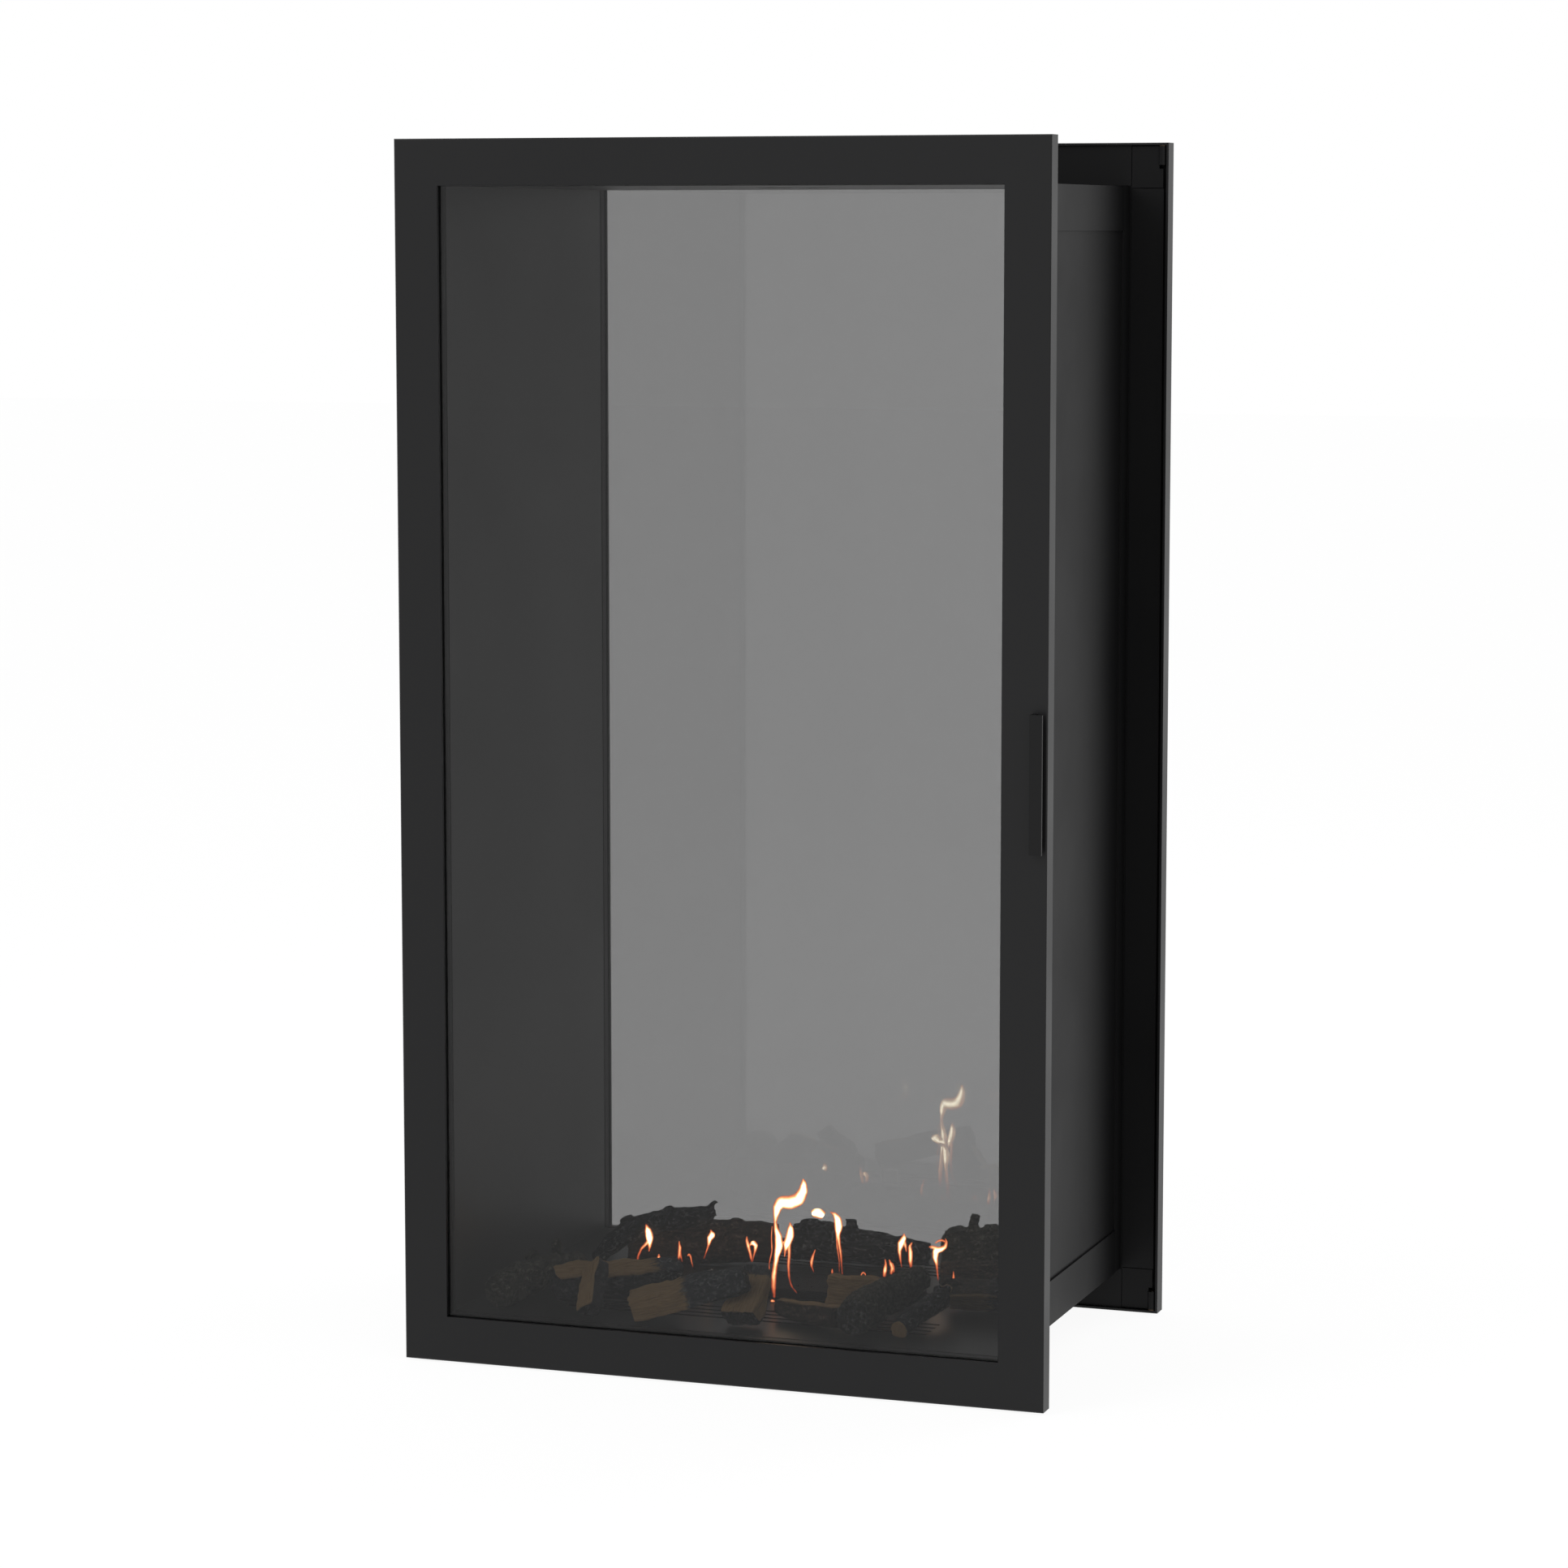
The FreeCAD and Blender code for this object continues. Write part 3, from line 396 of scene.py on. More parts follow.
PAINT_CLOUDS = 5.0
PAINT_GRAIN = 1500.0
PAINT_BUMP = (0.25, 0.05 * MM)
TARNISH = 35.0
WORKING_MARKS = 720.0
MARKS_BUMP = (0.2, 0.1 * MM)
SPANGLE = 90.0
SPANGLE_DARK = (0.2, 0.205, 0.21)
SPANGLE_LIGHT = (0.34, 0.35, 0.36)
SPANGLE_ROUGHNESS = (0.36, 0.52)
SPANGLE_BUMP = (0.08, 0.2 * MM)
WEAVE = {"Scale": 260.0, "Distortion": 1.5}
WEAVE_TURN = (0.0, math.radians(45), math.radians(35))
WEAVE_BUMP = (0.6, 0.4 * MM)
CORD_DARK = (0.03, 0.03, 0.03)
CORD_LIGHT = (0.11, 0.11, 0.112)
RUBBER_DUST = 120.0
RUBBER_BUMP = (0.3, 0.3 * MM)
RUBBER_BLACK = (0.012, 0.012, 0.012)
RUBBER_DUSTY = (0.045, 0.043, 0.04)

# Stove paints: the setting that holds the colour, how much rougher than the common roughness, and the
# specular level
PAINTS = {
    "frame_black": ("frame_colour", 0.0, 0.25),
    "handle_black": ("casing_colour", -0.06, 0.2),
    "rim_black": ("casing_colour", 0.06, 0.18),
    "casing_black": ("casing_colour", 0.02, 0.08),
    "liner_black": ("liner_colour", -0.04, 0.35),
    "floor_black": ("liner_colour", -0.08, 0.13),
}

# Bare metals: the material's name, its colour, its roughness and how dark its tarnish is
METALS = {
    "zinc": ("plated_steel", (0.55, 0.56, 0.58), 0.36, 0.6),
    "magnet": ("magnet_nickel", (0.42, 0.41, 0.4), 0.42, 0.6),
    "bronze": ("bush_bronze", (0.09, 0.065, 0.045), 0.5, 0.6),
    "valve_alloy": ("valve_alloy", (0.5, 0.5, 0.5), 0.45, 0.75),
    "brass_pipe": ("pipe_brass", (0.62, 0.44, 0.18), 0.33, 0.7),
}


def stove_paint(name, colour, roughness, specular, shade=0.12):
    """Fine matt stove paint: faint clouds in its colour, an eggshell surface and a fine grain."""
    mat, tree = new_material(name)
    place = object_place(tree)
    clouds = noise(tree, place, PAINT_CLOUDS)
    grain = noise(tree, place, PAINT_GRAIN, 2.0)
    light = [min(1.0, c * (1 + shade)) for c in colour]
    dark = [c * (1 - shade) for c in colour]
    return principled(mat, {
        "Base Color": blend(tree, clouds, dark, light),
        "Roughness": spread(tree, clouds, 0.3, 0.7, roughness - 0.03, roughness + 0.04),
        "Specular IOR Level": specular,
        "Normal": bump(tree, grain, PAINT_BUMP),
    })


def burner_enamel():
    """Dull black of the burner, mottled by heat."""
    return stove_paint("burner_black_paint", (0.005, 0.005, 0.005), 0.7, 0.12, shade=0.3)


def bare_metal(name, colour, roughness, tarnish_share):
    """Uncoated metal with a mottled tarnish and fine working marks."""
    mat, tree = new_material(name)
    place = object_place(tree)
    tarnish = noise(tree, place, TARNISH, 5.0, 0.6)
    marks = noise(tree, place, WORKING_MARKS)
    dark = [c * tarnish_share for c in colour]
    return principled(mat, {
        "Base Color": blend(tree, spread(tree, tarnish, 0.3, 0.7), dark, colour),
        "Metallic": 1.0,
        "Roughness": spread(tree, marks, 0.25, 0.75, roughness - 0.08, roughness + 0.12),
        "Normal": bump(tree, marks, MARKS_BUMP),
    })


def spangled_zinc():
    """Galvanised sheet with its crystal spangle."""
    mat, tree = new_material("galvanised_sheet")
    cells = add(tree, "TexVoronoi", {"Vector": object_place(tree), "Scale": SPANGLE})
    tone = add(tree, "SeparateColor", {"Color": cells.outputs["Color"]}).outputs[0]
    return principled(mat, {
        "Base Color": blend(tree, tone, SPANGLE_DARK, SPANGLE_LIGHT),
        "Metallic": 1.0,
        "Roughness": spread(tree, tone, 0.0, 1.0, *SPANGLE_ROUGHNESS),
        "Normal": bump(tree, tone, SPANGLE_BUMP),
    })


def woven_rope():
    """Dark glass-fibre cord: a tight diagonal weave."""
    mat, tree = new_material("glass_fibre_cord")
    place = object_place(tree)
    turned = add(tree, "Mapping", {"Vector": place, "Rotation": WEAVE_TURN}).outputs[0]
    one = add(tree, "TexWave", {"Vector": place, **WEAVE}).outputs["Fac"]
    two = add(tree, "TexWave", {"Vector": turned, **WEAVE}).outputs["Fac"]
    weave = calc(tree, "MULTIPLY", one, two)
    return principled(mat, {
        "Base Color": blend(tree, weave, CORD_DARK, CORD_LIGHT),
        "Roughness": 0.95,
        "Specular IOR Level": 0.1,
        "Normal": bump(tree, weave, WEAVE_BUMP),
    })


def black_rubber():
    """Black rubber of the feet, with a little dust."""
    mat, tree = new_material("rubber_foot")
    dust = noise(tree, object_place(tree), RUBBER_DUST, 5.0, 0.7)
    return principled(mat, {
        "Base Color": blend(tree, spread(tree, dust, 0.35, 0.75), RUBBER_BLACK, RUBBER_DUSTY),
        "Roughness": 0.82,
        "Specular IOR Level": 0.3,
        "Normal": bump(tree, dust, RUBBER_BUMP),
    })


# Material of the panes

GLASS_CLOUDS = 3.0
GLASS_UNEVENNESS = 0.004
GRAZING_POWER = 5.0


def tinted_glass(settings):
    """Grey ceramic glass, plain outside and with a faint mirror coat that shows on the fire side."""
    mat, tree = new_material("tinted_glass")
    place = object_place(tree)
    depth = add(tree, "SeparateXYZ", {"Vector": place}).outputs["Y"]
    fire_side = calc(tree, "LESS_THAN", calc(tree, "ABSOLUTE", depth), PANE_MIDDLE)
    from_air = calc(tree, "SUBTRACT", 1.0, add(tree, "NewGeometry").outputs["Backfacing"])
    coated = calc(tree, "MULTIPLY", fire_side, from_air)
    head_on = spread(tree, coated, 0.0, 1.0, settings.plain_mirror, settings.coated_mirror)
    facing = add(tree, "LayerWeight", {"Blend": 0.5}).outputs["Facing"]
    grazing = calc(tree, "POWER", facing, GRAZING_POWER)
    room = calc(tree, "SUBTRACT", 1.0, head_on)
    mirror_share = calc(tree, "ADD", head_on, calc(tree, "MULTIPLY", room, grazing))
    film = noise(tree, place, GLASS_CLOUDS, 2.0)
    clear = [settings.tint * (1 + GLASS_UNEVENNESS)] * 3
    dull = [settings.tint * (1 - GLASS_UNEVENNESS)] * 3
    through = add(tree, "BsdfTransparent", {"Color": blend(tree, film, clear, dull)})
    mirror = add(tree, "BsdfAnisotropic", {"Color": WHITE, "Roughness": 0.0})
    surface = add(tree, "MixShader", {0: mirror_share, 1: through.outputs[0], 2: mirror.outputs[0]})
    return finish_material(mat, surface)


# Materials of the logs

WOOD = (0.4, 0.27, 0.14)
WOOD_DARK = [tone * share for tone, share in zip(WOOD, (0.62, 0.58, 0.54))]
WOOD_LIGHT = [tone * 1.25 for tone in WOOD]
GLINT = (0.33, 0.2, 0.11)
SOOT = (0.008, 0.0085, 0.0095)
# Painted highlight on the high places of charred parts
RIDGE_HIGHLIGHT = (0.055, 0.06, 0.066)
# Pale colour of the crack lines on charred parts: partly ash, partly painted glints
ASH_AND_GLINT = (0.26, 0.27, 0.28)
# Painted shade: bark in the low places of the relief is darkened to this share of its colour; random dark
# patches take the same colour
FURROW_SHADE_SHARE = 0.3
LOG_BUMP = (0.8, 1.8 * MM)
LOG_ROUGHNESS = (0.72, 0.9)

# Patterns in a log's colour: how much finer across the log than along it, waves per metre, detail,
# roughness and distortion
PATTERNS = {
    "patches": (1.0, 50.0, 5.0, 0.65, 0.0),
    "specks": (1.0, 420.0, 4.0, 0.75, 0.0),
    "streaks": (4.0, 110.0, 4.0, 0.7, 0.0),
    "fibre": (12.0, 40.0, 6.0, 0.65, 0.8),
    "fine": (9.0, 150.0, 3.0, 0.55, 0.0),
    "gaps": (1.0, 140.0, 4.0, 0.75, 0.0),
}

# Where one tone of a log gives way to the next, from and to, on the pattern or the height that parts
# them, and in some the share of the next tone at each
# Painted shade in the furrows: heights from the first to the second go from the darkened bark to the bark's
# colour
FURROW_SHADE_TO_BARK = (0.1, 0.9)
# Painted highlight: the high places of the bark lighten to the colour of its crests
BARK_TO_CREST_HIGHLIGHT = (0.95, 1.35)
PATCH_EDGE = (0.45, 0.7, 0.0, 0.7)
GLINT_EDGE = (0.6, 0.68)
FIBRE_EDGE = (0.36, 0.58)
FINE_EDGE = (0.56, 0.7)
# Painted shade: low places of split wood darken towards its dark grain colour
GROOVE_SHADE_EDGE = (0.0, 0.3, 0.55, 0.0)
SOOT_EDGE = (0.35, 0.6)
# Painted highlight: heights from the first to the second go from soot to the lighter ridge grey
SOOT_TO_RIDGE_HIGHLIGHT = (0.4, 1.1)
GAP_EDGE = (0.48, 0.6, 0.0, 0.85)

# How strongly specks and streaks stir the tones of bark and char, and how much painted highlight the cracks
# in bark take
SPECKS_ON_BARK = 3.0
STREAKS_ON_CHAR = 0.9
STREAKS_ON_BURNT = 1.6
CREST_HIGHLIGHT_IN_CRACKS = 0.7

# Cracks in the bark: cells per metre, their length along the log, the strays of their edges, and the
# share of a cell that a line takes
CRACK_CELLS = 180.0
CRACK_STRETCH = (0.55, 1.0, 1.0)
CRACK_WAVES = 120.0
CRACK_STRAY = (0.014, 0.014, 0.014)
CRACK_LINE = 0.12

# Finishes of the logs: the bark's colour, the colour of its crests, which is a painted highlight,
# and the share of reddish specks
LOG_FINISHES = {
    "log_bark": ((0.078, 0.076, 0.056), (0.28, 0.275, 0.225), 0.0),
    "log_brown": ((0.062, 0.045, 0.034), (0.19, 0.145, 0.11), 0.9),
    "log_char": ((0.035, 0.032, 0.03), (0.12, 0.115, 0.11), 0.0),
    "log_split": ((0.05, 0.052, 0.056), (0.22, 0.225, 0.235), 0.0),
}


def pattern(tree, grain, name):
    across, scale, detail, roughness, distortion = PATTERNS[name]
    return noise(tree, scaled(tree, grain, (1.0, across, across)), scale, detail, roughness, distortion)


def raised(tree, height, ripple, amount):
    """The height with a pattern's ups and downs laid over it."""
    ups = calc(tree, "MULTIPLY", calc(tree, "SUBTRACT", ripple, 0.5), amount)
    return calc(tree, "ADD", height, ups)


def glint_crack_lines(tree, grain):
    """Thin broken lines along the edges of warped cells: pale rims of charred wood, partly ash and partly
    painted glints.
    """
    wobble = add(tree, "TexNoise", {"Vector": grain, "Scale": CRACK_WAVES, "Detail": 4.0}).outputs["Color"]
    warped = add(tree, "VectorMath", {0: wobble, 1: CRACK_STRAY, 2: grain},
                 operation="MULTIPLY_ADD").outputs[0]
    cells = add(tree, "TexVoronoi", {"Vector": scaled(tree, warped, CRACK_STRETCH), "Scale": CRACK_CELLS},
                feature="DISTANCE_TO_EDGE").outputs["Distance"]
    line = spread(tree, cells, 0.0, CRACK_LINE, 1.0, 0.0)
    gaps = spread(tree, pattern(tree, grain, "gaps"), *GAP_EDGE)
    return calc(tree, "MULTIPLY", line, gaps)


def log_material(name, bark, crest_highlight, specks_share):
    """Fired and hand-coloured ceramic log. The log's own attributes say where it is bark or split wood,
    how high each point stands in the relief, and where it is charred. Low places in the relief are
    darkened as painted shade, and high places lightened as painted highlight."""
    mat, tree = new_material(name)
    grain = attribute(tree, "grain", "Vector")
    bark_share = attribute(tree, "bark")
    relief = attribute(tree, "relief")
    char = attribute(tree, "char")
    specks = pattern(tree, grain, "specks")
    streaks = pattern(tree, grain, "streaks")
    fine = pattern(tree, grain, "fine")
    cracks = glint_crack_lines(tree, grain)

    furrow_shade_and_patch_tone = [c * FURROW_SHADE_SHARE for c in bark]
    height = raised(tree, relief, specks, SPECKS_ON_BARK)
    # Painted shade: the low places of the bark take the darkened colour, the middle ones the bark's own
    bark_tone = blend(tree, spread(tree, height, *FURROW_SHADE_TO_BARK), furrow_shade_and_patch_tone, bark)
    # Painted highlight: the high places of the bark take the crest colour
    bark_tone = blend(tree, spread(tree, height, *BARK_TO_CREST_HIGHLIGHT), bark_tone, crest_highlight)
    patches = spread(tree, pattern(tree, grain, "patches"), *PATCH_EDGE)
    bark_tone = blend(tree, patches, bark_tone, furrow_shade_and_patch_tone)
    # Painted highlight along the crack lines of the bark
    bark_tone = blend(tree, calc(tree, "MULTIPLY", cracks, CREST_HIGHLIGHT_IN_CRACKS), bark_tone, crest_highlight)
    bark_tone = blend(tree, spread(tree, specks, *GLINT_EDGE, 0.0, specks_share), bark_tone, GLINT)

    fibre = spread(tree, pattern(tree, grain, "fibre"), *FIBRE_EDGE)
    wood_tone = blend(tree, fibre, WOOD_DARK, WOOD)
    wood_tone = blend(tree, spread(tree, fine, *FINE_EDGE), wood_tone, WOOD_LIGHT)
    # Painted shade: low places of split wood darken towards its dark grain colour
    wood_tone = blend(tree, spread(tree, relief, *GROOVE_SHADE_EDGE), wood_tone, WOOD_DARK)

    soot = spread(tree, raised(tree, char, streaks, STREAKS_ON_CHAR), *SOOT_EDGE)
    # Painted highlight: charred parts go from soot in their low places to a lighter grey on their high ones
    ridge_highlight_share = spread(tree, raised(tree, relief, streaks, STREAKS_ON_BURNT), *SOOT_TO_RIDGE_HIGHLIGHT)
    burnt = blend(tree, ridge_highlight_share, SOOT, RIDGE_HIGHLIGHT)
    # Partly ash and partly painted glints: charred parts turn pale along the crack lines
    burnt = blend(tree, cracks, burnt, ASH_AND_GLINT)
    tone = blend(tree, soot, blend(tree, bark_share, wood_tone, bark_tone), burnt)
    return principled(mat, {
        "Base Color": tone,
        "Roughness": spread(tree, specks, 0.3, 0.7, *LOG_ROUGHNESS),
        "Specular IOR Level": 0.25,
        "Normal": bump(tree, calc(tree, "ADD", specks, fine), LOG_BUMP),
    })


# Material of the flames. Colours run from the edge of a tongue to its core, and so does the brightness.

FLAME_COLOURS = ((0.0, (0.6, 0.05, 0.015)), (0.2, (1.0, 0.15, 0.045)), (0.36, (1.0, 0.33, 0.12)),
                 (0.56, (1.0, 0.62, 0.3)), (0.85, (1.0, 0.88, 0.62)))
FLAME_WISPS = 160.0
WISP_SHARE = 0.25
EDGE_STRENGTH = 1.15
GLOW_POWER = 2.5
FULL_STRENGTH_AT = 0.8
FADING_EDGE = (0.02, 0.4)


def flame_material(settings):
    """Glowing gas: white in the core, through yellow and orange to nothing at the edge and the foot."""
    mat, tree = new_material("flame")
    wisps = noise(tree, object_place(tree), FLAME_WISPS)
    glow = raised(tree, attribute(tree, "core"), wisps, WISP_SHARE)
    ramp = add(tree, "ValToRGB", {"Fac": glow})
    elements = ramp.color_ramp.elements
    while len(elements) < len(FLAME_COLOURS):
        elements.new(0.5)
    for element, (place, colour) in zip(elements, FLAME_COLOURS):
        element.position = place
        element.color = (*colour, 1.0)
    heart = calc(tree, "POWER", calc(tree, "MAXIMUM", glow, 0.0), GLOW_POWER)
    strength = spread(tree, heart, 0.0, FULL_STRENGTH_AT, EDGE_STRENGTH, settings.strength)
    light = add(tree, "Emission", {"Color": ramp.outputs[0], "Strength": strength})
    clear = add(tree, "BsdfTransparent")
    surface = add(tree, "MixShader", {0: spread(tree, glow, *FADING_EDGE), 1: clear.outputs[0],
                                      2: light.outputs[0]})
    return finish_material(mat, surface)


# Tools for modelling

LONG_EDGE = 10


def deselect():
    bpy.ops.object.select_all(action="DESELECT")


def activate(piece):
    deselect()
    piece.select_set(True)
    bpy.context.view_layer.objects.active = piece


def pick_none(kind):
    bpy.ops.object.mode_set(mode="EDIT")
    bpy.ops.mesh.select_mode(type=kind)
    bpy.ops.mesh.select_all(action="DESELECT")
    bpy.ops.object.mode_set(mode="OBJECT")


def pick_vertices(piece, test):
    """Goes to edit mode with only the vertices that pass the test selected."""
    pick_none("VERT")
    for vertex in piece.data.vertices:
        vertex.select = test(vertex.co)
    bpy.ops.object.mode_set(mode="EDIT")


def pick_long_edges(piece):
    """Goes to edit mode with only the edges that run along X selected."""
    pick_none("EDGE")
    points = piece.data.vertices
    for edge in piece.data.edges:
        a, b = (points[i].co for i in edge.vertices)
        edge.select = abs(a.x - b.x) > LONG_EDGE * math.hypot(a.y - b.y, a.z - b.z)
    bpy.ops.object.mode_set(mode="EDIT")


def apply_modifiers(piece):
    activate(piece)
    for modifier in list(piece.modifiers):
        bpy.ops.object.modifier_apply(modifier=modifier.name)


def vectors(piece, kind="co"):
    """The place or the normal of each vertex."""
    flat = np.empty(len(piece.data.vertices) * 3)
    piece.data.vertices.foreach_get(kind, flat)
    return flat.reshape(-1, 3)


def set_attribute(piece, name, values):
    """Stores one number or one vector for each vertex."""
    kind = "FLOAT" if values.ndim == 1 else "FLOAT_VECTOR"
    layer = piece.data.attributes.new(name, kind, "POINT")
    layer.data.foreach_set("value" if values.ndim == 1 else "vector", values.ravel())


def put(piece, material, body, replaced=()):
    piece.data.materials.clear()
    piece.data.materials.append(material)
    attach(piece, body)
    if replaced:
        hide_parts(*replaced)


# Logs

LOG_SIDES = 26
LOG_RINGS = 6
SWELL = 0.06
END_TAPER = 0.9
KNOT_SIDES = 12
KNOT_ROOT = 1.3
KNOT_TIP = 0.85
FACE_SHARPNESS = math.radians(62)
FULL_RELIEF_RADIUS = 22 * MM

# Sizes of the relief's waves: slow strays to each side and up, strays of the ends, swellings, bark
# scales, furrows and fibres
STRAY_WAVES = (("Y", 60 * MM), ("Z", 55 * MM), ("X", 14 * MM))
SWELLING = 22 * MM
BARK_SCALE = 7.5 * MM
CHAR_SCALE = 9.5 * MM
SCALE_MIDDLE = 0.45
FURROW = 4.2 * MM
FIBRE = 3.5 * MM

# How far the relief is drawn out along the log
BARK_STRETCH = 4.0
CHAR_STRETCH = 3.0
FIBRE_STRETCH = 9.0

# What strays and fibres add to a log's seed, and the per cent of points below the relief's foot and top
STRAY_SEED = 100
FIBRE_SEED = 200
RELIEF_ENDS = (4, 96)

# A smooth log's share of the common depth of bark and of the swellings
SMOOTH_BARK = 0.5
SMOOTH_SWELLINGS = 0.6

# Bark starts this far from a split face and from a sawn end, and is whole at the second distance
SPLIT_RIM = (1.0 * MM, 3.0 * MM)
SAWN_RIM = (0.6 * MM, 2.6 * MM)


def relief_texture(kind, size):
    texture = bpy.data.textures.new(f"log_{kind}_{size}", kind)
    texture.noise_scale = size
    if kind == "VORONOI":
        texture.weight_1, texture.weight_2 = -1.0, 1.0
    else:
        texture.noise_depth = 3
    return texture


def guide(stretch, seed):
    """Empty whose own space the relief textures are read in, so that they run along the log."""
    dice = random.Random(seed)
    place = [dice.uniform(-1, 1) for _ in range(3)]
    empty = bpy.data.objects.new("relief_guide", None)
    bpy.context.scene.collection.objects.link(empty)
    empty.location = place
    empty.scale = (stretch, 1.0, 1.0)
    bpy.context.view_layer.update()
    return empty


def displace(piece, texture, strength, space, direction="NORMAL", group="", middle=0.5):
    modifier = piece.modifiers.new("relief", "DISPLACE")
    modifier.texture = texture
    modifier.strength = strength
    modifier.mid_level = middle
    modifier.direction = direction
    modifier.texture_coords = "OBJECT"
    modifier.texture_coords_object = space
    modifier.vertex_group = group


def log_line(spec, share, middle):
    """How far the log's middle line strays sideways and up at a share of its length."""
    sideways, up = spec.get("bow", (0, 0))
    bend = math.log(0.5) / math.log(spec.get("peak", 0.5))
    arch = math.sin(math.pi * min(1, max(0, share)) ** bend)
    return Vector((0, sideways * middle * arch, up * middle * arch))


def face_normal(turn):
    """Direction square to a log that lies along +X, turned from up by so many degrees."""
    angle = math.radians(turn)
    return Vector((0, -math.sin(angle), math.cos(angle)))


def log_blank(name, spec, length, radii):
    """Tapered and bowed round of wood along +X, with its knots and split faces."""
    deselect()
    bpy.ops.mesh.primitive_cylinder_add(vertices=LOG_SIDES, radius=radii[0], depth=length,
                                        location=(length / 2, 0, 0), rotation=(0, math.pi / 2, 0))
    piece = bpy.context.object
    piece.name = piece.data.name = name
    bpy.ops.object.transform_apply()
    pick_long_edges(piece)
    bpy.ops.mesh.subdivide(number_cuts=LOG_RINGS)
    middle = (radii[0] + radii[1]) / 2
    for ring in range(LOG_RINGS + 2):
        share = ring / (LOG_RINGS + 1)
        place = share * length
        wanted = (radii[0] + (radii[1] - radii[0]) * share) * (1 + SWELL * math.sin(math.pi * share))
        if ring in (0, LOG_RINGS + 1):
            wanted *= END_TAPER
        size = wanted / radii[0]
        pick_vertices(piece, lambda co: abs(co.x - place) < 0.1 * length / (LOG_RINGS + 1))
        bpy.ops.transform.resize(value=(1, size, size), center_override=(place, 0, 0))
        bpy.ops.transform.translate(value=log_line(spec, share, middle))
    for turn, distance, _ in spec.get("cuts", ()):
        normal = face_normal(turn)
        bpy.ops.mesh.select_all(action="SELECT")
        place = normal * distance * middle + Vector((length / 2, 0, 0))
        bpy.ops.mesh.bisect(plane_co=place, plane_no=normal, use_fill=True, clear_outer=True)
    for share, turn, lean, knot_length, knot_radius in spec.get("knots", ()):
        root = log_line(spec, share, middle) + Vector((share * length, 0, 0))
        out = Matrix.Rotation(math.radians(turn), 3, "X") @ (
            Matrix.Rotation(math.radians(lean), 3, "Y") @ Vector((0, 0, 1)))
        reach = middle * (1 + knot_length)
        bpy.ops.mesh.select_all(action="DESELECT")
        bpy.ops.mesh.primitive_cone_add(
            vertices=KNOT_SIDES, radius1=middle * knot_radius * KNOT_ROOT,
            radius2=middle * knot_radius * KNOT_TIP, depth=reach, location=root + out * reach / 2,
            rotation=out.to_track_quat("Z", "Y").to_euler())
    bpy.ops.object.mode_set(mode="OBJECT")
    return piece


def cut_distances(points, spec, length, radius):
    """How far each point lies inside the nearest bare split face, or a metre if there is none, and
    inside the nearest end."""
    split = np.full(len(points), 1.0)
    for turn, distance, is_wood in spec.get("cuts", ()):
        if is_wood:
            split = np.minimum(split, distance * radius - points @ np.array(face_normal(turn)))
    ends = np.minimum(points[:, 0], length - points[:, 0])
    return split, ends


def weigh(piece, name, weights):
    group = piece.vertex_groups.new(name=name)
    for index, weight in enumerate(weights):
        group.add([index], float(weight), "REPLACE")


def fade(values, low, high):
    share = np.clip((values - low) / (high - low), 0, 1)
    return share * share * (3 - 2 * share)


def lay_relief(piece, spec, settings, small, seed):
    """Bends the blank a little, raises its bark and fibres, and gives each point's height in the relief."""
    charred = spec["finish"] == "log_char"
    smooth = spec["finish"] == "log_brown"
    bark_depth = settings.bark_depth * (SMOOTH_BARK if smooth else 1.0)
    depth = (settings.char_depth if charred else bark_depth) * small
    along_log = guide(spec.get("stretch", CHAR_STRETCH if charred else BARK_STRETCH), seed)
    roam = guide(1.0, seed + STRAY_SEED)
    for axis, wave in STRAY_WAVES:
        displace(piece, relief_texture("CLOUDS", wave), settings.wander * small, roam, axis)
    lumps = settings.lumps * small * (SMOOTH_SWELLINGS if smooth else 1.0)
    displace(piece, relief_texture("CLOUDS", SWELLING), lumps, roam)
    apply_modifiers(piece)
    before = vectors(piece)
    normals = vectors(piece, "normal")
    displace(piece, relief_texture("VORONOI", CHAR_SCALE if charred else BARK_SCALE), depth, along_log,
             group="rind", middle=SCALE_MIDDLE)
    displace(piece, relief_texture("CLOUDS", FURROW), depth, along_log, group="rind")
    along_fibre = guide(FIBRE_STRETCH, seed + FIBRE_SEED)
    displace(piece, relief_texture("CLOUDS", FIBRE), settings.grain_depth, along_fibre, group="fibre")
    apply_modifiers(piece)
    for empty in [o for o in bpy.context.scene.objects if o.name.startswith("relief_guide")]:
        bpy.data.objects.remove(empty)
    rise = np.einsum("ij,ij->i", vectors(piece) - before, normals)
    low, high = np.percentile(rise, RELIEF_ENDS)
    return np.clip((rise - low) / max(high - low, 1e-6), 0, 1)


def lay_down(piece, name, start, along):
    """Moves a log from +X to its place, onto the height of its CAD solid."""
    across = along.cross(Vector((0, 0, 1))).normalized()
    upward = across.cross(along).normalized()
    turn = Matrix((along, -across, upward)).transposed().to_4x4()
    activate(piece)
    piece.matrix_world = Matrix.Translation(start) @ turn
    bpy.ops.object.transform_apply()
    piece.location = (0, 0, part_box(name)[0].z - vectors(piece)[:, 2].min())
    bpy.ops.object.transform_apply()


